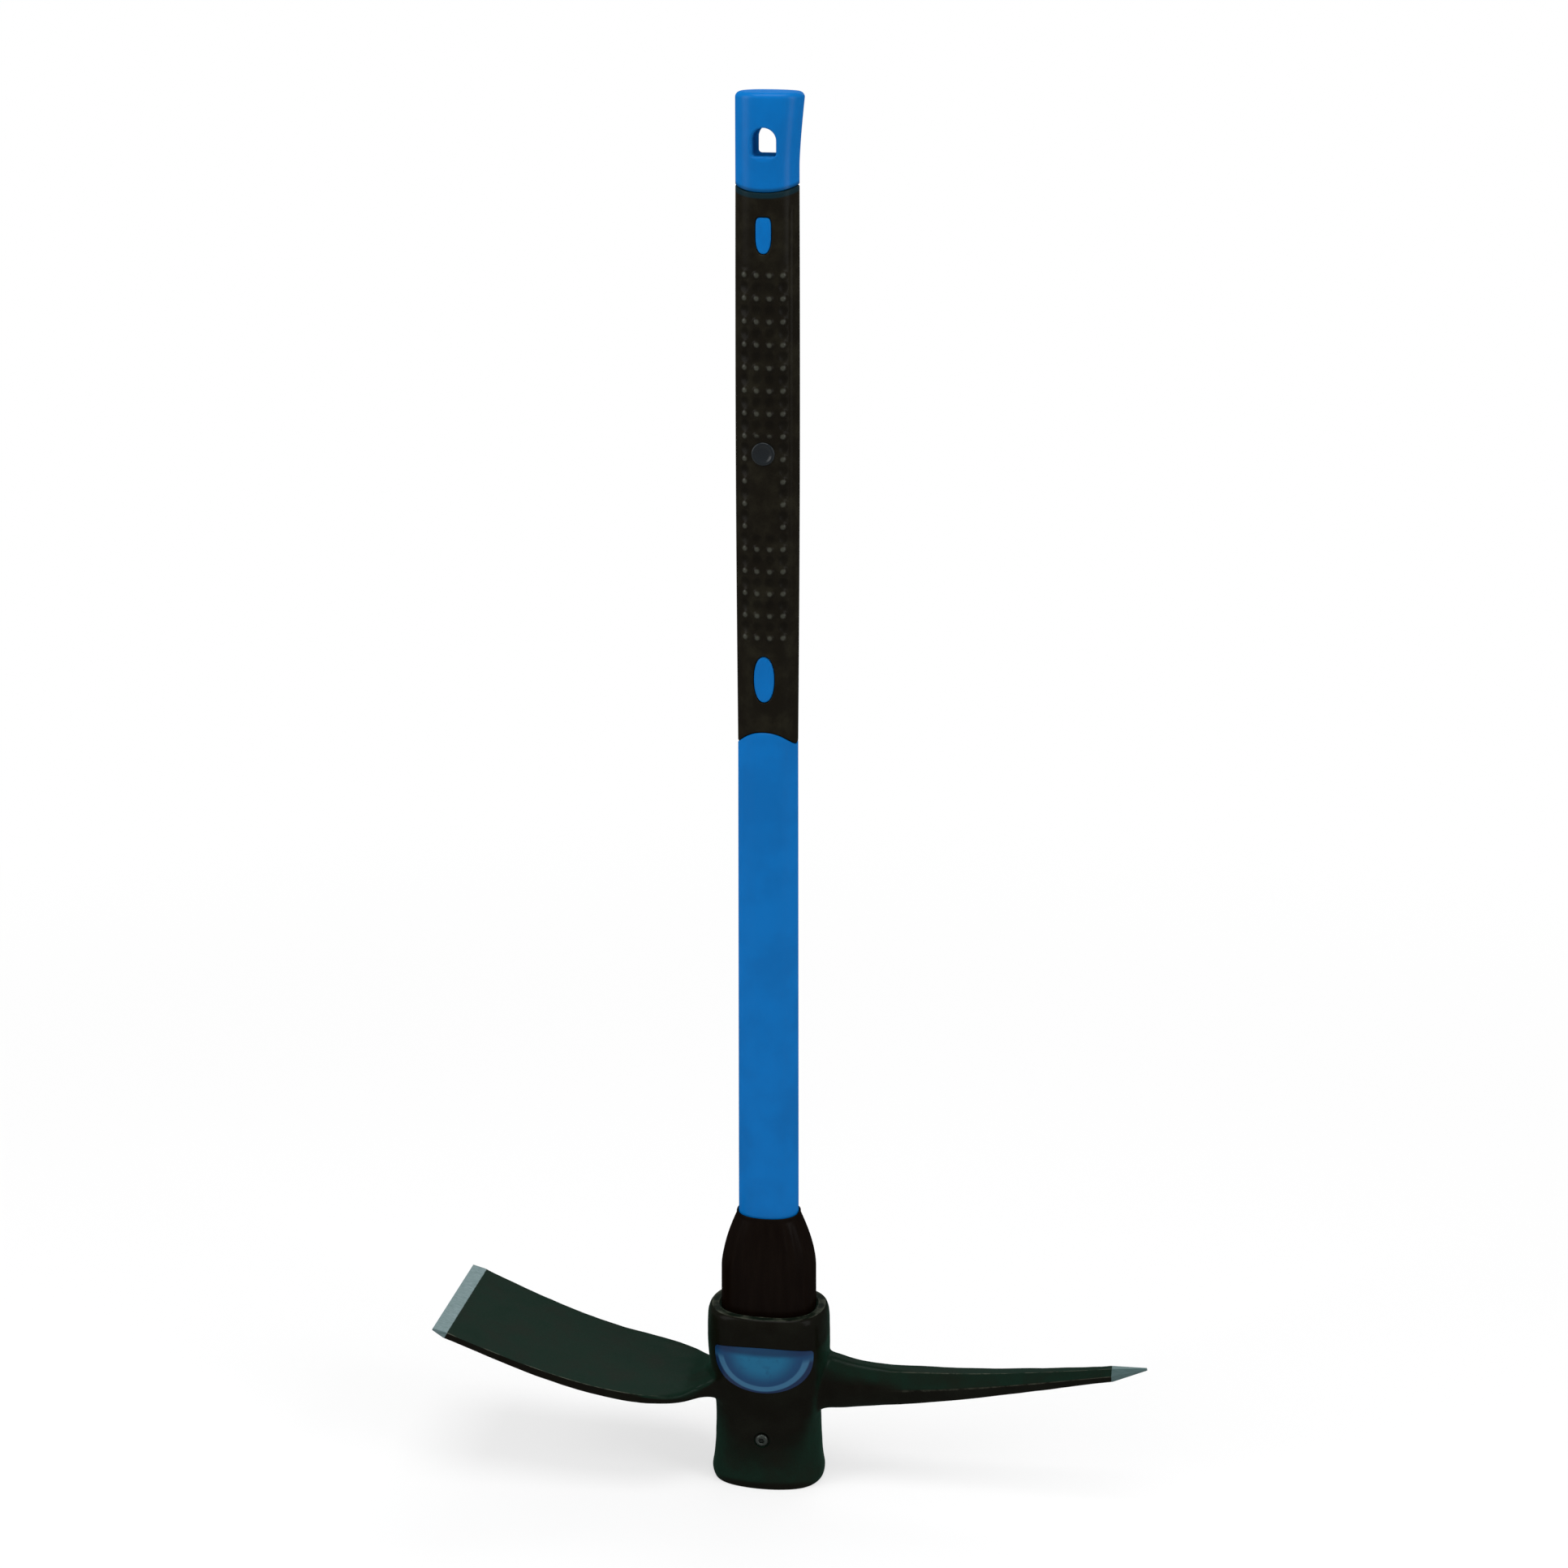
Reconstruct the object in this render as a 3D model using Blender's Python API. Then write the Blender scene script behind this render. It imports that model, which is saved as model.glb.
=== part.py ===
"""Pick mattock: a forged head with a pick point and an adze blade, on a fibreglass handle.

It stands on its head. The origin is the middle of the handle's head end, on the ground,
with +Z up the handle, +X toward the pick point, -X toward the blade and +Y to the back.
The head slips along the handle from the grip end, and its eye jams on the tapered bulb.
"""
import math

import bmesh
import bpy
from mathutils import Vector

MM = 0.001

# Clearances
FIT = 0.3 * MM              # gap between pieces that touch
SUNK = 0.5 * MM             # how far the blue pads lie below the rubber round them
PAD_INSET = 1.0 * MM        # wall left between the bore and a pad's inner end
CUT_PAST = 5.0 * MM         # how far a cutter runs past the face it cuts
POCKET_RUN = 4.0 * MM       # free space past the core's end

# Handle section: an oval whose width changes along its length
HANDLE_LENGTH = 914.4 * MM
SHAFT_FOOT_WIDTH = 39.4 * MM
SHAFT_GRIP_WIDTH = 38.0 * MM
BUTT_WIDTH = 38.8 * MM
OVAL_LESS = 3.7 * MM        # half depth is this much less than half width
HANDLE_POWER = 2.3          # 2 is an ellipse, more is squarer
FLANK_FACETS = 6            # facets round each flank, beyond the pip columns
SHARP_ANGLE = 40.0          # faces that meet at more than this many degrees shade apart

# Flared butt, drawn out on the pick side only
BUTT_FLARE = 3.2 * MM
FLARE_LENGTH = 44.0 * MM
FLARE_CURVE = 1.4
FLARE_STEPS = 4
BUTT_ROUNDING = 3.5 * MM

# Hang hole: flat foot, arched top
HOLE_WIDTH = 15.5 * MM
HOLE_HEIGHT = 17.3 * MM
HOLE_BELOW_TOP = 20.6 * MM
HOLE_CORNER = 2.0 * MM
HOLE_STEPS = 12             # chords of its arch
CORNER_STEPS = 3            # chords of a rounded corner

# Fibreglass core
CORE_WIDTH = 25.0 * MM
CORE_DEPTH = 19.0 * MM
CORE_POWER = 2.0
CORE_BELOW_HOLE = 14.0 * MM

# Rubber grip, set down from the handle's end
BUTT_LENGTH = 55.6 * MM     # blue end left bare above it
GRIP_LENGTH = 349.2 * MM
GRIP_FOOT = HANDLE_LENGTH - BUTT_LENGTH - GRIP_LENGTH
GRIP_WALL = 2.6 * MM
GRIP_SWELL = 0.6 * MM
GRIP_FOOT_ARCH = 9.4 * MM
GRIP_TOP_SCALLOP = 3.5 * MM
PIP_PITCH = 8.0 * MM        # across the grip
PIP_RISE = 14.1 * MM        # along the grip
PIP_LENGTH = 6.0 * MM
PIP_HEIGHT = 0.9 * MM
PIP_ROWS = 17
PIP_START = 70.7 * MM       # first row above the grip's foot
PIP_COLUMNS = (2, 6)        # quarter pitches from the middle to each pip
SLOPE_COLUMNS = (1, 3, 5, 7)  # quarter pitches from the middle to the feet of the pips
PLAIN_ROWS = range(5, 10)   # rows whose two middle pips make room for the button
BUTTON_DIAMETER = 14.5 * MM
BUTTON_HEIGHT = 1.0 * MM
BUTTON_LEVEL = 186.9 * MM   # above the grip's foot
BUTTON_SIDES = 24
BUTTON_EDGE = ((0.94, 0.2), (0.86, 0.7), (0.6, 1.0))  # shares of its radius and height

# Windows in the grip, where the blue jacket shows
LOW_WINDOW_WIDTH = 13.6 * MM
LOW_WINDOW_HEIGHT = 30.0 * MM
LOW_WINDOW_LEVEL = 43.6 * MM
HIGH_WINDOW_WIDTH = 10.3 * MM
HIGH_WINDOW_HEIGHT = 22.6 * MM
HIGH_WINDOW_LEVEL = 320.0 * MM
WINDOW_SIDES = 20
SKIN_STEPS = 8              # steps of the swelled skin that ends the pads
LOW_WINDOW_POWER = 2.2
HIGH_WINDOW_TOP_POWER = 5.0
HIGH_WINDOW_FOOT_POWER = 2.4

# Bulb that fills the eye
JACKET_FOOT = 146.0 * MM
SHOULDER_FOOT = 150.0 * MM
BULB_TOP = 189.5 * MM
RIM_WALL = 1.2 * MM
SHOULDER_CURVE = 1.6
SHOULDER_STEPS = 8
RIB_COUNT = 12
RIB_HEIGHT = 0.6 * MM

# Eye of the head: its bore widens downward, so the bulb wedges in it
EYE_HEIGHT = 123.0 * MM
BORE_TOP_WIDTH = 63.2 * MM
BORE_TOP_DEPTH = 46.4 * MM
BORE_TAPER = 0.6 * MM       # each side, from top to foot
EYE_POWER = 2.5
EYE_SIDES = 48
FOOT_WALL = 6.6 * MM
FOOT_ROUNDING = 2.2 * MM
FOOT_BAND = 14.0 * MM       # height of the flared foot
FOOT_FULL = 1 / 3           # share of that height where it is widest
FOOT_FADE = 0.2             # share of its extra wall left at that height's top
WAIST_WALL = 3.2 * MM
BOSS_GROWTH = 0.6           # share of the collar's extra wall reached halfway up the arms
COLLAR_WALL = 9.2 * MM
COLLAR_ROUNDING = 3.2 * MM
COLLAR_STEPS = ((4.0, 0.0), (0.7, 0.1), (0.0, 1.0))  # roundings below its top and off its wall

# Arms: where they leave the eye
ARM_FOOT = 46.0 * MM
ARM_TOP = 90.0 * MM

# Adze blade
BLADE_REACH = 217.0 * MM
BLADE_EDGE_WIDTH = 104.0 * MM
GRIND_THICKNESS = 4.6 * MM  # where the cutting edge's grind starts
EDGE_LAND = 1.4 * MM        # blunt width of the cutting edge
EDGE_GRIND = 8.0 * MM
SHOULDER_RUN = 15.5 * MM    # from the eye
SHOULDER_WIDTH = 88.5 * MM
SHOULDER_THICKNESS = 7.1 * MM
PLATE_STEPS = 3
THROAT_RUN = 4.0 * MM       # from the eye
THROAT_WIDTH = 48.0 * MM
THROAT_THICKNESS = 9.9 * MM
NECK_WIDTH = 44.0 * MM      # where it leaves the eye
NECK_THICKNESS = 14.0 * MM
NECK_LEVEL = 68.0 * MM
BLADE_LEVEL = 64.2 * MM
BLADE_STRAIGHT = 33.0 * MM  # run from the eye before it bends up
BLADE_RISE = 45.3 * MM
BLADE_CURL = 1.45
BLADE_CROWN = 1.25          # thickness along the middle, against that at the sides
CROWN_SIDE = 0.55           # share of the half width where the crown falls off
CROWN_FADE = 0.7            # share of the crown kept there

# Pick arm
PICK_REACH = 251.4 * MM
POINT_LENGTH = 23.0 * MM
POINT_HEIGHT = 9.5 * MM
POINT_LAND = 1.6 * MM
PICK_MIDDLE = 0.52          # share of the way from the eye to the point
PICK_MIDDLE_HEIGHT = 17.5 * MM
HAUNCH_RUN = 26.0 * MM      # from the eye
HAUNCH_HEIGHT = 28.8 * MM
HAUNCH_DEPTH = 24.5 * MM
FILLET_RUN = 7.0 * MM       # from the eye
FILLET_HEIGHT = 37.6 * MM
FILLET_DEPTH = 27.6 * MM
FILLET_LIFT = 2.2 * MM      # of its middle above the arm's line
ROOT_HEIGHT = 39.0 * MM     # where it leaves the eye
ROOT_DEPTH = 30.0 * MM
ROOT_LEVEL = 69.8 * MM
PICK_LEVEL = 67.5 * MM
PICK_RISE = 27.5 * MM
PICK_CURL = 1.8
PICK_FLAT = 0.52            # share of its depth that is flat on top and beneath

# Set screw in the front wall of the eye
SCREW_LEVEL = 35.5 * MM
SCREW_SHANK = 5.0 * MM
SCREW_HEAD = 8.5 * MM
SCREW_HEAD_HEIGHT = 2.6 * MM
SPOT_FACE = 0.4 * MM        # depth of the flat spot under its head
SPOT_MARGIN = 0.8 * MM      # the flat spot's width beyond the head
SCREW_SOCKET = 4.0 * MM
SCREW_SOCKET_DEPTH = 1.6 * MM
SCREW_SIDES = 16
SOCKET_SIDES = 6
SCREW_TIP_CHAMFER = 0.75 * MM
SCREW_CROWN = ((1.0, 0.3), (0.85, 0.75), (0.6, 1.0))  # shares of the head's radius and height

# Sticker on the front of the eye
LABEL_WIDTH = 64.0 * MM
LABEL_HEIGHT = 33.0 * MM
LABEL_SIDE = 9.0 * MM
LABEL_TOP = 105.0 * MM
LABEL_THICKNESS = 0.4 * MM
LABEL_CLEAR = 0.5 * MM      # gap behind it, over the facets of the eye
LABEL_START = 20.0 * MM     # in front of the collar, from where it is laid on
LABEL_COLUMNS = 12
LABEL_ROWS = 4

# Angles of the head's cage round the eye, in degrees from the pick's side
CAGE_ANGLES = (0, 32, 60, 90, 120, 148, 180, 212, 240, 270, 300, 328)
CAGE_LEVELS = 2
ARM_ROWS = (3, 5)           # cage rows at the arms' foot and top
PICK_COLUMNS = (11, 0)      # cage faces that the pick arm leaves open
BLADE_COLUMNS = (4, 5, 6, 7)
PICK_RIDGES = (1, 2, 3, 5, 6, 7)
BLADE_RIDGES = (2, 4, 8, 10)
RIDGE_CREASE = 0.9
RIDGE_START = 3             # stretch of an arm, counted from its root, where its ridges start


def clear_scene():
    """Remove every object of the open scene."""
    for obj in list(bpy.data.objects):
        bpy.data.objects.remove(obj, do_unlink=True)


def paint(name, colour, roughness, metallic):
    """Return a Principled material."""
    material = bpy.data.materials.new(name)
    material.use_nodes = True
    shader = material.node_tree.nodes["Principled BSDF"]
    shader.inputs["Base Color"].default_value = (*colour, 1.0)
    shader.inputs["Roughness"].default_value = roughness
    shader.inputs["Metallic"].default_value = metallic
    return material


def add_object(name, bm, material):
    """Turn a bmesh into a named smooth object with outward faces."""
    bmesh.ops.recalc_face_normals(bm, faces=bm.faces)
    mesh = bpy.data.meshes.new(name)
    bm.to_mesh(mesh)
    bm.free()
    mesh.shade_smooth()
    obj = bpy.data.objects.new(name, mesh)
    bpy.context.scene.collection.objects.link(obj)
    if material:
        mesh.materials.append(material)
    return obj


def sharp_edge_nodes():
    """Return a node group that shades edges sharp where their faces meet at a wide angle."""
    tree = bpy.data.node_groups.new("sharp edges by angle", "GeometryNodeTree")
    tree.interface.new_socket("Geometry", in_out="INPUT", socket_type="NodeSocketGeometry")
    tree.interface.new_socket("Geometry", in_out="OUTPUT", socket_type="NodeSocketGeometry")
    start = tree.nodes.new("NodeGroupInput")
    end = tree.nodes.new("NodeGroupOutput")
    angle = tree.nodes.new("GeometryNodeInputMeshEdgeAngle")
    wide = tree.nodes.new("FunctionNodeCompare")
    wide.operation = "GREATER_THAN"
    wide.inputs["B"].default_value = math.radians(SHARP_ANGLE)
    shade = tree.nodes.new("GeometryNodeSetShadeSmooth")
    shade.domain = "EDGE"
    shade.inputs["Shade Smooth"].default_value = False
    tree.links.new(angle.outputs["Unsigned Angle"], wide.inputs["A"])
    tree.links.new(start.outputs["Geometry"], shade.inputs["Geometry"])
    tree.links.new(wide.outputs["Result"], shade.inputs["Selection"])
    tree.links.new(shade.outputs["Geometry"], end.inputs["Geometry"])
    return tree


def as_cutter(obj):
    """Mark an object as a tool of a Boolean, which is no piece of the pick."""
    obj.hide_render = True
    obj.display_type = "WIRE"
    return obj


def boolean(obj, tool, operation):
    """Add an exact Boolean with one tool."""
    modifier = obj.modifiers.new(f"{operation.lower()} {tool.name}", "BOOLEAN")
    modifier.operation = operation
    modifier.object = tool
    return modifier


def loft(rings, closed=False):
    """Bridge rings of equal count in order, then cap both ends or join the last to the first."""
    bm = bmesh.new()
    loops = [[bm.verts.new(point) for point in ring] for ring in rings]
    pairs = list(zip(loops, loops[1:]))
    if closed:
        pairs.append((loops[-1], loops[0]))
    else:
        bm.faces.new(loops[0])
        bm.faces.new(loops[-1])
    for low, high in pairs:
        for i in range(len(low)):
            j = (i + 1) % len(low)
            bm.faces.new((low[i], low[j], high[j], high[i]))
    return bm


def oval_point(half_x, half_y, power, angle):
    """Return x and y on a superellipse."""
    across, along = math.cos(angle), math.sin(angle)
    x = math.copysign(abs(across) ** (2 / power), across) * half_x
    y = math.copysign(abs(along) ** (2 / power), along) * half_y
    return x, y


def turn(sides):
    """Return evenly spaced angles of one turn."""
    return [2 * math.pi * i / sides for i in range(sides)]


def handle_angles():
    """Return the angles of every handle ring: even columns at front and back, round flanks."""
    half = BUTT_WIDTH / 2
    columns = sorted(PIP_COLUMNS + SLOPE_COLUMNS)
    quarter = [math.acos((k * PIP_PITCH / 4 / half) ** (HANDLE_POWER / 2)) for k in columns]
    flank = [quarter[-1] * 2 * i / FLANK_FACETS for i in range(1, FLANK_FACETS // 2)]
    first = sorted(quarter + flank)
    upper = [0.0] + first + [math.pi - a for a in reversed(first)]
    return upper + [math.pi + a for a in upper]


def ramp(value, low, high):
    """Return 0 to 1 as value goes from low to high, held outside."""
    return min(1.0, max(0.0, (value - low) / (high - low)))


def blend(start, end, share):
    """Return the value at a share of the way from start to end."""
    return start + (end - start) * share


def grip_top():
    """Return the height of the grip's upper end at the sides."""
    return GRIP_FOOT + GRIP_LENGTH


def grip_foot_edge(angle):
    """Return the grip's lower boundary, which arches up at front and back."""
    return GRIP_FOOT + GRIP_FOOT_ARCH * math.sin(angle) ** 2


def grip_top_edge(angle):
    """Return the grip's upper boundary, which dips at front and back."""
    return grip_top() - GRIP_TOP_SCALLOP * math.sin(angle) ** 2


def handle_half_width(z):
    """Return the half width of the blue handle at a height, without its flare."""
    low = blend(SHAFT_FOOT_WIDTH, SHAFT_GRIP_WIDTH, ramp(z, JACKET_FOOT, GRIP_FOOT))
    return blend(low, BUTT_WIDTH, ramp(z, GRIP_FOOT, grip_top())) / 2


def handle_point(z, angle, grow=0.0):
    """Return a point on the handle's outside, grown or shrunk by a wall."""
    half = handle_half_width(z) + grow
    share = ramp(z, HANDLE_LENGTH - FLARE_LENGTH, HANDLE_LENGTH - BUTT_ROUNDING)
    flare = BUTT_FLARE * share ** FLARE_CURVE
    wide = half + flare if math.cos(angle) > 0 else half
    x, y = oval_point(wide, half - OVAL_LESS, HANDLE_POWER, angle)
    return Vector((x, y, z))


def core_ring(z, grow=0.0):
    """Return the fibreglass core's outline, grown by a clearance."""
    half_x, half_y = CORE_WIDTH / 2 + grow, CORE_DEPTH / 2 + grow
    return [Vector((*oval_point(half_x, half_y, CORE_POWER, a), z)) for a in handle_angles()]


def core_top():
    """Return the height of the core's upper end."""
    return HANDLE_LENGTH - HOLE_BELOW_TOP - HOLE_HEIGHT - CORE_BELOW_HOLE


def make_core(material):
    """Make the solid fibreglass rod."""
    return add_object("fibreglass_core", loft([core_ring(0.0), core_ring(core_top())]), material)


def arch_outline(width, height, corner):
    """Return the hang hole's outline about its foot's middle: flat foot, round top."""
    radius = width / 2
    points = []
    for i in range(HOLE_STEPS + 1):
        angle = math.pi * i / HOLE_STEPS
        points.append((radius * math.cos(angle), height - radius + radius * math.sin(angle)))
    for centre_x, start in ((-radius + corner, math.pi), (radius - corner, 1.5 * math.pi)):
        for i in range(CORNER_STEPS + 1):
            angle = start + math.pi / 2 * i / CORNER_STEPS
            points.append((centre_x + corner * math.cos(angle), corner + corner * math.sin(angle)))
    return points


def oval_outline(width, height):
    """Return an upright oval about its middle."""
    return [oval_point(width / 2, height / 2, LOW_WINDOW_POWER, a) for a in turn(WINDOW_SIDES)]


def tongue_outline(width, height):
    """Return the upper window's outline: square shoulders, drawn in to a round foot."""
    points = []
    for a in turn(WINDOW_SIDES):
        power = HIGH_WINDOW_TOP_POWER if math.sin(a) > 0 else HIGH_WINDOW_FOOT_POWER
        points.append(oval_point(width / 2, height / 2, power, a))
    return points


def prism(name, outline, level):
    """Extrude an outline of x and z front to back, past both sides of the handle."""
    reach = SHAFT_FOOT_WIDTH / 2 + CUT_PAST
    rings = [[Vector((x, y, level + z)) for x, z in outline] for y in (-reach, reach)]
    return as_cutter(add_object(name, loft(rings), None))


def window_list():
    """Return each window's name, outline maker, sizes and height."""
    return (
        ("low", oval_outline, LOW_WINDOW_WIDTH, LOW_WINDOW_HEIGHT, GRIP_FOOT + LOW_WINDOW_LEVEL),
        ("high", tongue_outline, HIGH_WINDOW_WIDTH, HIGH_WINDOW_HEIGHT,
         GRIP_FOOT + HIGH_WINDOW_LEVEL),
    )


def make_jacket(material):
    """Make the blue jacket: blind bore, recess under the grip, window pads and hang hole."""
    angles = handle_angles()
    pocket = core_top() + POCKET_RUN
    rings = [core_ring(pocket, FIT), core_ring(JACKET_FOOT, FIT)]
    rings.append([handle_point(JACKET_FOOT, a) for a in angles])
    rings.append([handle_point(grip_foot_edge(a) - FIT, a) for a in angles])
    rings.append([handle_point(grip_foot_edge(a) - FIT, a, -GRIP_WALL - FIT) for a in angles])
    rings.append([handle_point(grip_top_edge(a) + FIT, a, -GRIP_WALL - FIT) for a in angles])
    rings.append([handle_point(grip_top_edge(a) + FIT, a) for a in angles])
    shoulder = HANDLE_LENGTH - BUTT_ROUNDING
    for i in range(1, FLARE_STEPS + 1):
        z = blend(HANDLE_LENGTH - FLARE_LENGTH, shoulder, i / FLARE_STEPS)
        rings.append([handle_point(z, a) for a in angles])
    for i in range(1, CORNER_STEPS + 1):
        swing = math.pi / 2 * i / CORNER_STEPS
        z = shoulder + BUTT_ROUNDING * math.sin(swing)
        inset = BUTT_ROUNDING * (1 - math.cos(swing))
        rings.append([handle_point(z, a, -inset) for a in angles])
    jacket = add_object("handle_jacket", loft(rings), material)

    skin = []
    for i in range(SKIN_STEPS + 1):
        share = i / SKIN_STEPS
        z = blend(GRIP_FOOT, grip_top(), share)
        skin.append([handle_point(z, a, swell(share) - SUNK) for a in angles])
    skin_tool = as_cutter(add_object("pad_skin", loft(skin), None))
    for name, outline, width, height, level in window_list():
        pad = prism(f"pad_{name}", outline(width - 2 * FIT, height - 2 * FIT), level)
        boolean(pad, skin_tool, "INTERSECT")
        boolean(pad, pad_core(name, level, height), "DIFFERENCE")
        boolean(jacket, pad, "UNION")

    foot = HANDLE_LENGTH - HOLE_BELOW_TOP - HOLE_HEIGHT
    hole = prism("hang_hole", arch_outline(HOLE_WIDTH, HOLE_HEIGHT, HOLE_CORNER), foot)
    boolean(jacket, hole, "DIFFERENCE")
    return jacket


def pad_core(name, level, height):
    """Return a rod that ends a window's pads inside the jacket's wall, clear of its bore."""
    half = height / 2 + CUT_PAST
    rings = [core_ring(level - half, FIT + PAD_INSET), core_ring(level + half, FIT + PAD_INSET)]
    return as_cutter(add_object(f"pad_core_{name}", loft(rings), None))


def swell(share):
    """Return how far the grip stands out at a share of its length."""
    return GRIP_SWELL * math.sin(math.pi * share)


def pip_lift(angle, row):
    """Return how far the rubber rises to a pip of a row at an angle."""
    half = BUTT_WIDTH / 2
    column = abs(round(oval_point(half, half, HANDLE_POWER, angle)[0] / (PIP_PITCH / 4)))
    if column not in PIP_COLUMNS or (column == min(PIP_COLUMNS) and row in PLAIN_ROWS):
        return 0.0
    return PIP_HEIGHT


def grip_ring(level_at, lift_at):
    """Return a ring on the swelled grip, at a height and with a lift for each angle."""
    ring = []
    for a in handle_angles():
        z = level_at(a)
        grow = swell(ramp(z, GRIP_FOOT, grip_top())) + lift_at(a)
        ring.append(handle_point(z, a, grow))
    return ring


def make_grip(material):
    """Make the rubber grip with its pips, its plain button and its windows."""
    def flat(angle):
        return 0.0

    outer = [grip_ring(grip_foot_edge, flat)]
    for row in range(PIP_ROWS):
        level = GRIP_FOOT + PIP_START + row * PIP_RISE
        outer.append(grip_ring(lambda a: level - PIP_LENGTH / 2, flat))
        outer.append(grip_ring(lambda a: level, lambda a: pip_lift(a, row)))
        outer.append(grip_ring(lambda a: level + PIP_LENGTH / 2, flat))
    outer.append(grip_ring(grip_top_edge, flat))
    inner = [[handle_point(edge(a), a, -GRIP_WALL) for a in handle_angles()]
             for edge in (grip_top_edge, grip_foot_edge)]
    grip = add_object("rubber_grip", loft(outer + inner, closed=True), material)

    for name, outline, width, height, level in window_list():
        boolean(grip, prism(f"window_{name}", outline(width, height), level), "DIFFERENCE")
    boolean(grip, make_button(), "UNION")
    return grip


def make_button():
    """Return the plain round button that joins the grip's front."""
    level = GRIP_FOOT + BUTTON_LEVEL
    share = BUTTON_LEVEL / GRIP_LENGTH
    face = handle_half_width(level) - OVAL_LESS + swell(share)
    sunk_rise = -GRIP_WALL / 2 / BUTTON_HEIGHT
    rings = []
    for radius_share, rise in ((BUTTON_EDGE[0][0], sunk_rise),) + BUTTON_EDGE:
        radius = BUTTON_DIAMETER / 2 * radius_share
        y = -face - rise * BUTTON_HEIGHT
        rings.append([Vector((radius * math.cos(a), y, level + radius * math.sin(a)))
                      for a in turn(BUTTON_SIDES)])
    return as_cutter(add_object("grip_button", loft(rings), None))


def bore_half(z):
    """Return the eye bore's half width and half depth, tapering on above the eye."""
    grow = BORE_TAPER * (1 - z / EYE_HEIGHT)
    return BORE_TOP_WIDTH / 2 + grow, BORE_TOP_DEPTH / 2 + grow


def bore_ring(z, grow=0.0):
    """Return the eye bore's outline, grown by a clearance."""
    half_x, half_y = bore_half(z)
    return [Vector((*oval_point(half_x + grow, half_y + grow, EYE_POWER, a), z))
            for a in turn(EYE_SIDES)]


def shoulder_ring(share):
    """Return the bulb's shoulder, drawn in from the taper to the rim with faint ribs."""
    z = blend(SHOULDER_FOOT, BULB_TOP, share)
    draw = share ** SHOULDER_CURVE
    wide_x, wide_y = bore_half(SHOULDER_FOOT)
    rim = handle_half_width(BULB_TOP) + FIT + RIM_WALL
    half_x = blend(wide_x - FIT, rim, draw)
    half_y = blend(wide_y - FIT, rim - OVAL_LESS, draw)
    power = blend(EYE_POWER, HANDLE_POWER, draw)
    fade = RIB_HEIGHT * math.sin(math.pi * share)
    points = []
    for a in turn(EYE_SIDES):
        rib = fade * max(0.0, math.cos(RIB_COUNT * a))
        points.append(Vector((*oval_point(half_x + rib, half_y + rib, power, a), z)))
    return points


def make_bulb(material):
    """Make the black bulb: tapered in the eye, shouldered above it, stepped inside."""
    outer = [bore_ring(0.0, -FIT), bore_ring(EYE_HEIGHT, -FIT)]
    outer += [shoulder_ring(i / SHOULDER_STEPS) for i in range(SHOULDER_STEPS + 1)]
    angles = turn(EYE_SIDES)
    step = JACKET_FOOT - FIT
    inner = [[handle_point(BULB_TOP, a, FIT) for a in angles],
             [handle_point(step, a, FIT) for a in angles]]
    half_x, half_y = CORE_WIDTH / 2 + FIT, CORE_DEPTH / 2 + FIT
    for z in (step, 0.0):
        inner.append([Vector((*oval_point(half_x, half_y, CORE_POWER, a), z)) for a in angles])
    return add_object("eye_bulb", loft(outer + inner, closed=True), material)


def eye_rows():
    """Return the head cage's rows: height, and wall thickness beyond the bore."""
    rows = [
        (0.0, FOOT_WALL - FOOT_ROUNDING),
        (FOOT_BAND * FOOT_FULL, FOOT_WALL),
        (FOOT_BAND, blend(WAIST_WALL, FOOT_WALL, FOOT_FADE)),
        (ARM_FOOT, WAIST_WALL),
        ((ARM_FOOT + ARM_TOP) / 2, blend(WAIST_WALL, COLLAR_WALL, BOSS_GROWTH)),
        (ARM_TOP, COLLAR_WALL),
    ]
    for below, off in COLLAR_STEPS:
        rows.append((EYE_HEIGHT - below * COLLAR_ROUNDING, COLLAR_WALL - off * COLLAR_ROUNDING))
    return rows


def cage_point(row, degrees):
    """Return a cage corner, pushed out by what subdividing a twelve-sided ring draws in."""
    z, wall = row
    half_x, half_y = bore_half(z)
    draw_in = (4 + 2 * math.cos(2 * math.pi / len(CAGE_ANGLES))) / 6
    x, y = oval_point(half_x + wall, half_y + wall, EYE_POWER, math.radians(degrees))
    return Vector((x / draw_in, y / draw_in, z))


def pick_section(half_height, half_depth):
    """Return the pick arm's section: flat top and foot, ridged sides."""
    flat = half_depth * PICK_FLAT
    return ((0, half_height), (flat, half_height), (half_depth, 0), (flat, -half_height),
            (0, -half_height), (-flat, -half_height), (-half_depth, 0), (-flat, half_height))


def blade_section(half_thickness, half_width, crown=BLADE_CROWN):
    """Return the blade's section: a plate a little thicker along its middle."""
    quarter = half_width * CROWN_SIDE
    high = half_thickness * crown
    mid = blend(half_thickness, high, CROWN_FADE)
    top = ((0, high), (quarter, mid), (half_width, half_thickness))
    foot = ((half_width, -half_thickness), (quarter, -mid), (0, -high))
    back = tuple((-y, z) for y, z in reversed(foot[:-1]))
    front = tuple((-y, z) for y, z in reversed(top[1:]))
    return top + ((half_width, 0),) + foot + back + ((-half_width, 0),) + front


def arm_line(reach, level, rise, curl, bend):
    """Return a function giving the arm's centre and its slope at a distance from the axis."""
    def at(distance):
        share = max(0.0, (distance - bend) / (reach - bend))
        height = level + rise * share ** curl
        slope = rise * curl / (reach - bend) * share ** (curl - 1) if share else 0.0
        return height, slope
    return at


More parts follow.
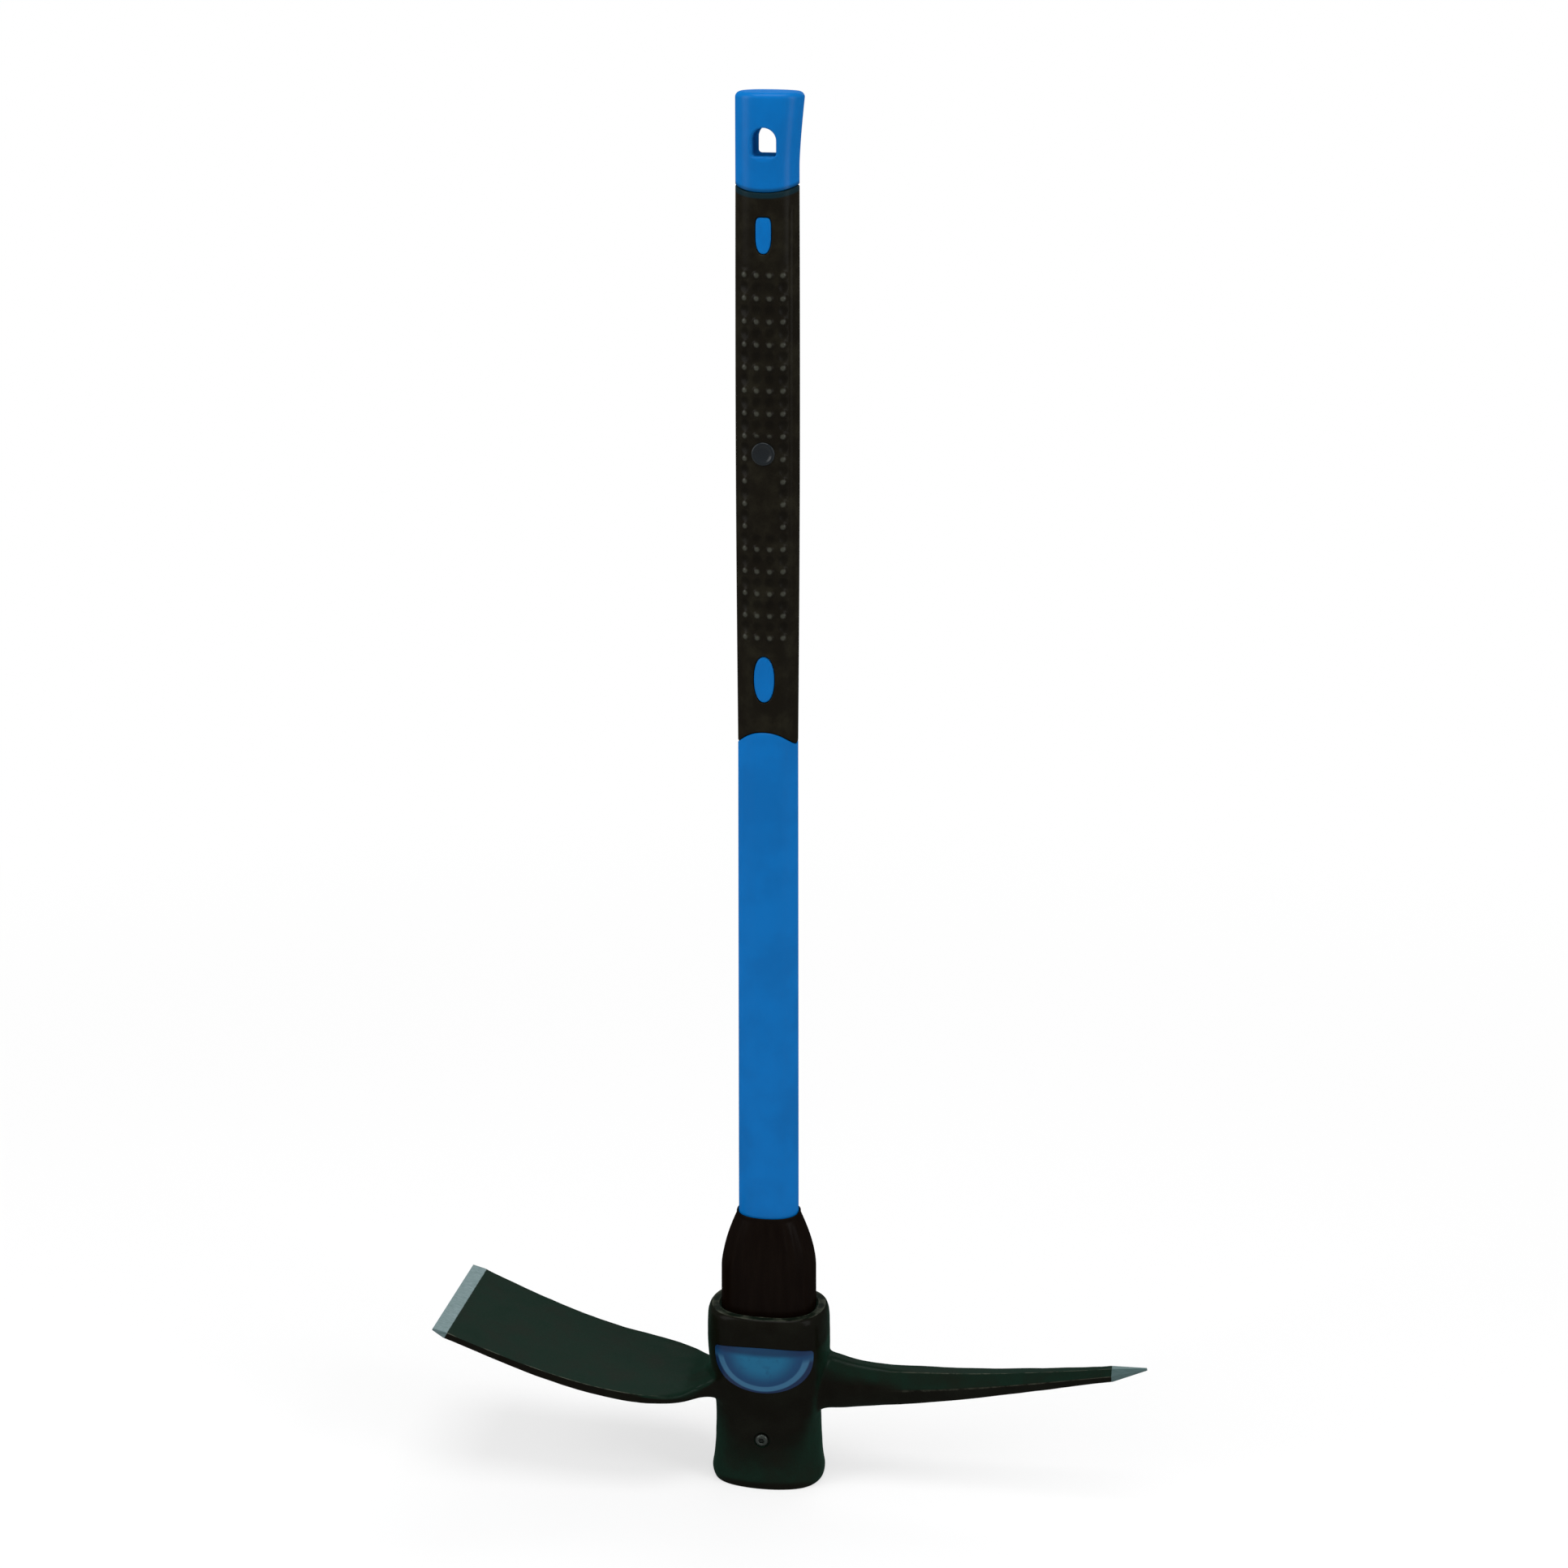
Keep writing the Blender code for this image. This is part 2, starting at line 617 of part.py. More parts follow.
def seat_x(y, z):
    """Return how far the eye's outside lies from the axis at a depth and height."""
    wall = blend(WAIST_WALL, COLLAR_WALL, ramp(z, ARM_FOOT, ARM_TOP))
    half_x, half_y = bore_half(z)
    inside = 1 - abs(y / (half_y + wall)) ** EYE_POWER
    return (half_x + wall) * max(0.0, inside) ** (1 / EYE_POWER)


def add_arm(bm, crease, root_loop, side, seat, stations, line, ridges):
    """Draw an arm out of its opening in the eye, through a seat on the eye and its stations."""
    seat_level, seat_section = seat
    loops = [root_loop]
    loops.append([bm.verts.new((side * seat_x(y, seat_level + z), y, seat_level + z))
                  for y, z in seat_section])
    for distance, lift, section in stations:
        height, slope = line(distance)
        lean = math.atan(slope)
        loops.append([bm.verts.new((side * (distance - z * math.sin(lean)), y,
                                    height + lift + z * math.cos(lean))) for y, z in section])
    count = len(root_loop)
    for number, (near, far) in enumerate(zip(loops, loops[1:])):
        for i in range(count):
            j = (i + 1) % count
            bm.faces.new((near[i], near[j], far[j], far[i]))
        if number >= RIDGE_START:
            for i in ridges:
                bm.edges.get((near[i], far[i]))[crease] = RIDGE_CREASE
    bm.faces.new(loops[-1])
    for loop in loops[-2:]:
        for i in range(count):
            bm.edges.get((loop[i], loop[(i + 1) % count]))[crease] = 1.0


def blade_stations():
    """Return the blade's stations: a throat, round shoulders, a plate and a ground edge."""
    root = eye_side()
    stations = [(root + THROAT_RUN, 0.0, blade_section(THROAT_THICKNESS / 2, THROAT_WIDTH / 2))]
    for i in range(PLATE_STEPS + 1):
        share = i / PLATE_STEPS
        distance = blend(root + SHOULDER_RUN, BLADE_REACH - EDGE_GRIND, share)
        thickness = blend(SHOULDER_THICKNESS, GRIND_THICKNESS, share)
        width = blend(SHOULDER_WIDTH, BLADE_EDGE_WIDTH, share)
        stations.append((distance, 0.0, blade_section(thickness / 2, width / 2)))
    stations.append((BLADE_REACH, 0.0, blade_section(EDGE_LAND / 2, BLADE_EDGE_WIDTH / 2, 1.0)))
    return stations


def pick_stations():
    """Return the pick arm's stations: a fillet, a haunch, a long taper and a pyramid point."""
    root = eye_side()
    point = PICK_REACH - POINT_LENGTH
    middle = PICK_MIDDLE_HEIGHT / 2
    tip = POINT_HEIGHT / 2
    return (
        (root + FILLET_RUN, FILLET_LIFT, pick_section(FILLET_HEIGHT / 2, FILLET_DEPTH / 2)),
        (root + HAUNCH_RUN, 0.0, pick_section(HAUNCH_HEIGHT / 2, HAUNCH_DEPTH / 2)),
        (blend(root, point, PICK_MIDDLE), 0.0, pick_section(middle, middle)),
        (point, 0.0, pick_section(tip, tip)),
        (PICK_REACH, 0.0, pick_section(POINT_LAND / 2, POINT_LAND / 2)),
    )


def eye_side():
    """Return how far the eye's outer side lies from the axis, halfway up the arms."""
    return bore_half(ARM_FOOT)[0] + COLLAR_WALL


def make_head(material):
    """Make the forged head from a subdivided cage, then cut the tapered eye and screw hole."""
    bm = bmesh.new()
    crease = bm.edges.layers.float.new("crease_edge")
    rows = eye_rows()
    count = len(CAGE_ANGLES)
    first, final = ARM_ROWS
    grid = [[bm.verts.new(cage_point(row, angle)) for angle in CAGE_ANGLES] for row in rows]
    for r in range(len(rows) - 1):
        for c in range(count):
            if first <= r < final and c in PICK_COLUMNS + BLADE_COLUMNS:
                continue
            d = (c + 1) % count
            bm.faces.new((grid[r][c], grid[r][d], grid[r + 1][d], grid[r + 1][c]))
    for ring in (grid[0], grid[-1]):
        bm.faces.new(ring)
        for i in range(count):
            bm.edges.get((ring[i], ring[(i + 1) % count]))[crease] = 1.0

    low, mid, top = grid[first:final + 1]
    last = count - 1
    pick_loop = [top[0], top[1], mid[1], low[1], low[0], low[last], mid[last], top[last]]
    blade_loop = [top[6], top[5], top[4], mid[4], low[4], low[5], low[6], low[7], low[8], mid[8],
                  top[8], top[7]]
    pick_line = arm_line(PICK_REACH, PICK_LEVEL, PICK_RISE, PICK_CURL, eye_side())
    blade_line = arm_line(BLADE_REACH, BLADE_LEVEL, BLADE_RISE, BLADE_CURL,
                          eye_side() + BLADE_STRAIGHT)
    pick_seat = (ROOT_LEVEL, pick_section(ROOT_HEIGHT / 2, ROOT_DEPTH / 2))
    blade_seat = (NECK_LEVEL, blade_section(NECK_THICKNESS / 2, NECK_WIDTH / 2))
    add_arm(bm, crease, pick_loop, 1, pick_seat, pick_stations(), pick_line, PICK_RIDGES)
    add_arm(bm, crease, blade_loop, -1, blade_seat, blade_stations(), blade_line, BLADE_RIDGES)
    loose = [v for v in bm.verts if not v.link_faces]
    bmesh.ops.delete(bm, geom=loose, context="VERTS")
    head = add_object("pick_head", bm, material)

    smooth = head.modifiers.new("forging", "SUBSURF")
    smooth.levels = CAGE_LEVELS
    smooth.render_levels = CAGE_LEVELS
    bore = [bore_ring(-CUT_PAST), bore_ring(EYE_HEIGHT + CUT_PAST)]
    boolean(head, as_cutter(add_object("eye_bore", loft(bore), None)), "DIFFERENCE")
    boolean(head, screw_hole(), "DIFFERENCE")
    return head


def screw_tip():
    """Return how far the screw's tip lies in front of the axis."""
    return bore_half(SCREW_LEVEL)[1]


def screw_seat():
    """Return how far the spot face under the screw's head lies from the axis."""
    return bore_half(SCREW_LEVEL)[1] + WAIST_WALL - SPOT_FACE


def spun_along_y(profile, sides):
    """Revolve a profile of radius and distance to the front round the screw's axis."""
    return loft([[Vector((r * math.cos(a), -y, SCREW_LEVEL + r * math.sin(a)))
                  for a in turn(sides)] for r, y in profile])


def screw_hole():
    """Return the cutter of the screw's hole and spot face in the front wall."""
    hole, face = SCREW_SHANK / 2 + FIT, SCREW_HEAD / 2 + SPOT_MARGIN
    seat = screw_seat()
    profile = ((hole, screw_tip() - CUT_PAST), (hole, seat), (face, seat), (face, seat + CUT_PAST))
    return as_cutter(add_object("screw_hole", spun_along_y(profile, SCREW_SIDES), None))


def make_screw(material):
    """Make the button-headed screw that holds the head on the bulb."""
    shank, head = SCREW_SHANK / 2, SCREW_HEAD / 2
    seat = screw_seat() + FIT
    crown = seat + SCREW_HEAD_HEIGHT
    profile = [(shank - SCREW_TIP_CHAMFER, screw_tip()), (shank, screw_tip() + SCREW_TIP_CHAMFER),
               (shank, seat), (head, seat)]
    profile += [(head * r, seat + SCREW_HEAD_HEIGHT * h) for r, h in SCREW_CROWN]
    screw = add_object("lock_screw", spun_along_y(profile, SCREW_SIDES), material)
    socket = ((SCREW_SOCKET / 2, crown - SCREW_SOCKET_DEPTH), (SCREW_SOCKET / 2, crown + CUT_PAST))
    cutter = add_object("screw_socket", spun_along_y(socket, SOCKET_SIDES), None)
    boolean(screw, as_cutter(cutter), "DIFFERENCE")
    return screw


def make_label(material, head):
    """Make the blank sticker, laid on the front of the eye."""
    bm = bmesh.new()
    front = -(bore_half(LABEL_TOP)[1] + COLLAR_WALL + LABEL_START)
    grid = []
    for i in range(LABEL_COLUMNS + 1):
        share = -math.cos(math.pi * i / LABEL_COLUMNS)
        drop = LABEL_SIDE + (LABEL_HEIGHT - LABEL_SIDE) * math.sqrt(max(0.0, 1 - share ** 2))
        x = share * LABEL_WIDTH / 2
        grid.append([bm.verts.new((x, front, LABEL_TOP - drop * j / LABEL_ROWS))
                     for j in range(LABEL_ROWS + 1)])
    for left, right in zip(grid, grid[1:]):
        for j in range(LABEL_ROWS):
            bm.faces.new((left[j], left[j + 1], right[j + 1], right[j]))
    mesh_object = add_object("eye_label", bm, material)
    wrap = mesh_object.modifiers.new("lay on the eye", "SHRINKWRAP")
    wrap.target = head
    wrap.wrap_method = "PROJECT"
    wrap.use_project_y = True
    wrap.use_positive_direction = True
    wrap.use_negative_direction = False
    wrap.wrap_mode = "ABOVE_SURFACE"
    wrap.offset = LABEL_CLEAR
    thick = mesh_object.modifiers.new("thickness", "SOLIDIFY")
    thick.thickness = LABEL_THICKNESS
    thick.offset = 1.0
    return mesh_object


def group(name, members, shading):
    """Parent pieces that move together to an empty at the origin, with sharp edges shaded."""
    empty = bpy.data.objects.new(name, None)
    bpy.context.scene.collection.objects.link(empty)
    for member in members:
        member.parent = empty
        member.modifiers.new("sharp edges", "NODES").node_group = shading


def main():
    """Build the whole tool."""
    clear_scene()
    core = make_core(paint("fibreglass", (0.62, 0.58, 0.42), 0.55, 0.0))
    jacket = make_jacket(paint("blue plastic", (0.001, 0.13, 0.40), 0.35, 0.0))
    grip = make_grip(paint("black rubber", (0.010, 0.011, 0.009), 0.6, 0.0))
    bulb = make_bulb(paint("black plastic", (0.012, 0.012, 0.010), 0.45, 0.0))
    head = make_head(paint("painted steel", (0.010, 0.020, 0.016), 0.5, 0.3))
    screw = make_screw(paint("zinc plated steel", (0.45, 0.46, 0.47), 0.35, 1.0))
    label = make_label(paint("blue vinyl", (0.012, 0.10, 0.19), 0.3, 0.0), head)
    shading = sharp_edge_nodes()
    group("handle", (core, jacket, grip, bulb), shading)
    group("head", (head, screw, label), shading)


main()
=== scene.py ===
"""Looks of a pick mattock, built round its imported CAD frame.

The tool stands on its head. Everything is in metres in the frame of the CAD: the origin is the
middle of the handle's head end, with +Z up the handle, +X toward the pick point and -Y to the
front, where the sticker and the set screw are. The finishes measure in millimetres.
"""
import logging
import math
from collections.abc import Callable, Mapping, Sequence
from dataclasses import dataclass
from enum import Enum
from functools import cache
from typing import Any, ClassVar, Union

import bmesh
import bpy
import numpy as np
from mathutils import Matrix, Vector, noise


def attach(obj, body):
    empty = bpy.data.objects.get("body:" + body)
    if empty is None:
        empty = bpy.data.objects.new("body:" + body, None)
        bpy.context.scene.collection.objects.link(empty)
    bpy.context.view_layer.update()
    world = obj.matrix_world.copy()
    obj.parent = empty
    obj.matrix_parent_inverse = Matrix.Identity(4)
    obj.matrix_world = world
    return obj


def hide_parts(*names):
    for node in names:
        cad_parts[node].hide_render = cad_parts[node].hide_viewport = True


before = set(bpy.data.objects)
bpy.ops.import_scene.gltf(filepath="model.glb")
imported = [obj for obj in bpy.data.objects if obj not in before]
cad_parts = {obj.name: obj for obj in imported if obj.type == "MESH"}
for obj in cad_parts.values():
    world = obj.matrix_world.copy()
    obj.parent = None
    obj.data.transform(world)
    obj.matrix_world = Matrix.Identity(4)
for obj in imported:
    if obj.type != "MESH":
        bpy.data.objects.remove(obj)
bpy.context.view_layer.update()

MM = 0.001
SEAM_GAP = 0.001 * MM
CUT_PAST = 5.0 * MM
FINE_STEPS = 4001
EDGE_STEPS = 7
ROUND_SIDES = 64
LOG = logging.getLogger("pick_mattock")

Triple = tuple[float, float, float]
Colour = Triple
Point2 = tuple[float, float]
Section = tuple[Point2, ...]
Loop = list[Vector]
Value = Union["Wire", float]


class Body(Enum):
    """The bodies that pieces ride on."""

    HANDLE = "handle"
    HEAD = "head"


class Slot(Enum):
    """The record's material slots."""

    FIBREGLASS = "fibreglass"
    BLUE_PLASTIC = "blue_plastic"
    BLACK_RUBBER = "black_rubber"
    BLACK_PLASTIC = "black_plastic"
    PAINTED_STEEL = "painted_steel"
    ZINC_STEEL = "zinc_steel"
    BLUE_VINYL = "blue_vinyl"


class Operation(Enum):
    """What a Boolean does with its tool."""

    JOIN = "UNION"
    CUT = "DIFFERENCE"


def from_screen(*steps: int) -> Colour:
    """Return the linear colour of an sRGB colour in steps of 255."""
    return tuple(share / 12.92 if share <= 0.04045 else ((share + 0.055) / 1.055) ** 2.4
                 for share in (step / 255 for step in steps))


def ramp(value: float, low: float, high: float) -> float:
    """Return 0 to 1 as value goes from low to high, held outside."""
    return min(1.0, max(0.0, (value - low) / (high - low)))


def ease(value: float, low: float, high: float) -> float:
    """Return a ramp with soft ends."""
    share = ramp(value, low, high)
    return share * share * (3 - 2 * share)


def blend(start: float, end: float, share: float) -> float:
    """Return the value at a share of the way from start to end."""
    return start + (end - start) * share


def spread(start: float, end: float, count: int) -> list[float]:
    """Return count values from start to end, both included."""
    return [blend(start, end, i / (count - 1)) for i in range(count)]


def rounding(radius: float, degrees: float, count: int) -> list[Point2]:
    """Return how far a rounded edge draws in, and how far it stays below its top, step by step."""
    return [(radius * (1 - math.cos(a)), radius * (1 - math.sin(a)))
            for a in spread(0.0, math.radians(degrees), count)]


def turn(sides: int) -> list[float]:
    """Return evenly spaced angles of one turn."""
    return [2 * math.pi * i / sides for i in range(sides)]


def oval_point(half_x: float, half_y: float, power: float, angle: float) -> Point2:
    """Return x and y on a superellipse, which is an ellipse at power 2 and squarer above."""
    across, along = math.cos(angle), math.sin(angle)
    return (math.copysign(abs(across) ** (2 / power), across) * half_x,
            math.copysign(abs(along) ** (2 / power), along) * half_y)


@cache
def even_turn(half_x: float, half_y: float, power: float, count: int) -> list[float]:
    """Return angles that space points evenly round a superellipse.

    Args:
        half_x: half width.
        half_y: half depth.
        power: its squareness.
        count: number of points.

    Returns:
        The angles, from 0 up to one turn.
    """
    fine = np.linspace(0.0, 2 * math.pi, FINE_STEPS)
    points = np.array([oval_point(half_x, half_y, power, a) for a in fine])
    run = np.concatenate(([0.0], np.cumsum(np.linalg.norm(np.diff(points, axis=0), axis=1))))
    return list(np.interp(np.linspace(0.0, run[-1], count, endpoint=False), run, fine))


def oval_ring(half_x: float, half_y: float, power: float, angles: Sequence[float],
              z: float) -> Loop:
    """Return the points of a superellipse at a height."""
    return [Vector((*oval_point(half_x, half_y, power, a), z)) for a in angles]


def make_object(name: str, data: bpy.types.ID) -> bpy.types.Object:
    """Link a new object.

    Args:
        name: its name.
        data: the mesh, lamp or camera that it holds.

    Returns:
        The object.
    """
    obj = bpy.data.objects.new(name, data)
    bpy.context.scene.collection.objects.link(obj)
    return obj


def rework(mesh: bpy.types.Mesh, change: Callable[[bmesh.types.BMesh], Any]) -> None:
    """Change a mesh.

    Args:
        mesh: the mesh.
        change: what is done to it.
    """
    bm = bmesh.new()
    bm.from_mesh(mesh)
    change(bm)
    bm.to_mesh(mesh)
    bm.free()


def skin(name: str, rings: Sequence[Sequence[Vector]], closed: bool = False) -> bpy.types.Object:
    """Join rings of equal count into a closed skin.

    Args:
        name: name of the object.
        rings: loops of points, in order along the piece.
        closed: True joins the last ring to the first, and False caps both ends.

    Returns:
        The object, with its faces outward.
    """
    count = len(rings[0])
    points = [point for ring in rings for point in ring]
    faces: list[tuple[int, ...]] = []
    for r in range(len(rings) if closed else len(rings) - 1):
        near, far = r * count, (r + 1) % len(rings) * count
        for i in range(count):
            j = (i + 1) % count
            faces.append((near + i, near + j, far + j, far + i))
    if not closed:
        faces += [tuple(range(count)), tuple(range(len(points) - count, len(points)))]
    mesh = bpy.data.meshes.new(name)
    mesh.from_pydata(points, [], faces)
    rework(mesh, lambda bm: bmesh.ops.recalc_face_normals(bm, faces=bm.faces))
    return make_object(name, mesh)


def settle(obj: bpy.types.Object) -> None:
    """Apply the modifiers of an object to its mesh.

    Args:
        obj: the object.
    """
    graph = bpy.context.evaluated_depsgraph_get()
    mesh = bpy.data.meshes.new_from_object(obj.evaluated_get(graph))
    obj.modifiers.clear()
    obj.data = mesh


def combine(obj: bpy.types.Object, tool: bpy.types.Object, operation: Operation) -> None:
    """Apply an exact Boolean, remove its tool and close the slivers that it leaves.

    Args:
        obj: the object that is changed.
        tool: the object that it is joined to or cut with.
        operation: whether it is joined or cut.
    """
    modifier = obj.modifiers.new(tool.name, "BOOLEAN")
    modifier.operation = operation.value
    modifier.object = tool
    settle(obj)
    bpy.data.objects.remove(tool)
    rework(obj.data, lambda bm: bmesh.ops.remove_doubles(bm, verts=bm.verts, dist=SEAM_GAP))


def operator(operation: str, flipped: bool = False) -> Callable[..., "Wire"]:
    """Return an operator of wires that adds a Math node.

    Args:
        operation: the node's operation.
        flipped: True puts the wire second, as in 1 - mask.

    Returns:
        The method.
    """
    def method(self: "Wire", other: Value = 0.0) -> "Wire":
        """Return the node's result."""
        return self.board.maths(operation, *((other, self) if flipped else (self, other)))

    return method


class Wire:
    """What comes out of a node, used in arithmetic that adds Math nodes."""

    __add__ = __radd__ = operator("ADD")
    __sub__, __rsub__ = operator("SUBTRACT"), operator("SUBTRACT", True)
    __mul__ = __rmul__ = operator("MULTIPLY")
    __pow__, __rpow__ = operator("POWER"), operator("POWER", True)
    __abs__ = operator("ABSOLUTE")

    def __init__(self, board: "Board", socket: bpy.types.NodeSocket | None) -> None:
        """Wrap a socket of a board's node."""
        self.board, self.socket = board, socket

    def twin(self, output: str) -> "Wire":
        """Return another output of the same node."""
        return Wire(self.board, self.socket.node.outputs[output])


class Board:
    """The nodes of a material or world, on which it is wired."""

    def __init__(self, holder: bpy.types.Material | bpy.types.World) -> None:
        """Clear the nodes and start on them.

        Args:
            holder: the material or world that has them.
        """
        holder.use_nodes = True
        self.tree = holder.node_tree
        self.tree.nodes.clear()

    def add(self, kind: str, settings: Mapping[str, Any] | None = None,
            sockets: Mapping[str, Any] | None = None, output: str = "") -> Wire:
        """Add a node.

        Args:
            kind: the node's type.
            settings: its properties, which are set first.
            sockets: values or wires for its inputs, by identifier.
            output: identifier of the output that is wanted, or the first if empty.

        Returns:
            The wire of that output.
        """
        node = self.tree.nodes.new(kind)
        for key, value in (settings or {}).items():
            setattr(node, key, value)
        for key, value in (sockets or {}).items():
            socket = next(s for s in node.inputs if s.identifier == key)
            if isinstance(value, Wire):
                self.tree.links.new(value.socket, socket)
            else:
                socket.default_value = (*value, 1.0) if socket.type == "RGBA" else value
        found = [s for s in node.outputs if output in ("", s.identifier)]
        return Wire(self, found[0] if found else None)

    def maths(self, operation: str, first: Value, second: Value) -> Wire:
        """Return the result of a Math node."""
        return self.add("ShaderNodeMath", {"operation": operation},
                        {"Value": first, "Value_001": second})

    def place(self) -> Wire:
        """Return the place on the piece, in millimetres."""
        spot = self.add("ShaderNodeTexCoord", output="Object")
        return self.stretch(spot, (1 / MM, 1 / MM, 1 / MM))

    def stretch(self, spot: Wire, scale: Triple) -> Wire:
        """Return a place scaled along each axis."""
        return self.add("ShaderNodeVectorMath", {"operation": "MULTIPLY"},
                        {"Vector": spot, "Vector_001": scale})

    def axes(self, spot: Wire) -> tuple[Wire, Wire, Wire]:
        """Return the three coordinates of a place."""
        x = self.add("ShaderNodeSeparateXYZ", None, {"Vector": spot}, "X")
        return x, x.twin("Y"), x.twin("Z")

    def grain(self, spot: Wire, size: float, detail: float = 3.0, rough: float = 0.5) -> Wire:
        """Return noise from 0 to 1 whose features have a size in millimetres."""
        return self.add("ShaderNodeTexNoise", None, {
            "Vector": spot, "Scale": 1 / size, "Detail": detail, "Roughness": rough})

    def cells(self, spot: Wire, size: float) -> Wire:
        """Return the distance from the middle of cells of a size in millimetres."""
        return self.add("ShaderNodeTexVoronoi", None, {"Vector": spot, "Scale": 1 / size})

    def fade(self, value: Value, low: float, high: float, start: float = 0.0,
             end: float = 1.0) -> Wire:
        """Return start to end, softly, as value goes from low to high."""
        return self.add("ShaderNodeMapRange", {"interpolation_type": "SMOOTHSTEP"}, {
            "Value": value, "From Min": low, "From Max": high, "To Min": start, "To Max": end})

    def between(self, value: Value, low: float, high: float, soft: float) -> Wire:
        """Return 1 between two levels and 0 outside them, with soft ends."""
        return self.fade(value, low, low + soft) * self.fade(value, high, high - soft)

    def mix(self, share: Value, first: Wire | Colour, second: Wire | Colour) -> Wire:
        """Return a colour between two."""
        return self.add("ShaderNodeMix", {"data_type": "RGBA"}, {
            "Factor_Float": share, "A_Color": first, "B_Color": second}, "Result_Color")

    def bump(self, height: Wire, depth: float, **under: Wire) -> Wire:
        """Return a normal bent by a height, whose full step is a depth in millimetres."""
        return self.add("ShaderNodeBump", None,
                        {"Height": height, "Distance": depth * MM, **under})

    def edge_share(self, low: float, high: float) -> Wire:
        """Return 0 to 1 as the surface turns from flat to a sharp outer edge."""
        return self.fade(self.add("ShaderNodeNewGeometry", output="Pointiness"), low, high)

    def surface(self, sockets: Mapping[str, Any]) -> None:
        """Finish a material with one Principled shader."""
        shader = self.add("ShaderNodeBsdfPrincipled", None, sockets)
        self.add("ShaderNodeOutputMaterial", None, {"Surface": shader})


def faint_shine(weight: Value, rough: float) -> dict[str, Value]:
    """Return a weak coat in place of the plain shine, which would mirror the white studio."""
    return {"Specular IOR Level": 0.0, "Coat Weight": weight, "Coat IOR": 3.0,
            "Coat Roughness": rough}


class Finish:
    """What a piece is made of and how its surface looks."""

    title: ClassVar[str]
    slot: ClassVar[Slot]

    def sockets(self, board: Board) -> dict[str, Any]:
        """Wire the finish on a board and return the values of the shader's sockets."""
        raise NotImplementedError

    def material(self) -> bpy.types.Material:
        """Make the material.

        Returns:
            The material, named by its title.
        """
        material = bpy.data.materials.new(self.title)
        board = Board(material)
        board.surface(self.sockets(board))
        return material

    def dress(self, obj: bpy.types.Object, body: Body, *nodes: str, degrees: float = 38.0) -> None:
        """Smooth a piece, give it this finish, hang it on its body and hide the CAD nodes that it
        stands for.

        Args:
            obj: the piece.
            body: the body that it rides on.
            *nodes: the CAD nodes that it stands for.
            degrees: the angle between faces above which an edge stays sharp.
        """
        obj.data.shade_smooth()
        obj.data.set_sharp_from_angle(angle=math.radians(degrees))
        weights = obj.modifiers.new("even normals", "WEIGHTED_NORMAL")
        weights.keep_sharp = True
        obj.data.materials.clear()
        obj.data.materials.append(self.material())
        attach(obj, body.value)
        if nodes:
            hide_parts(*nodes)
        LOG.info("%s: %d faces on %s", obj.name, len(obj.data.polygons), body.value)


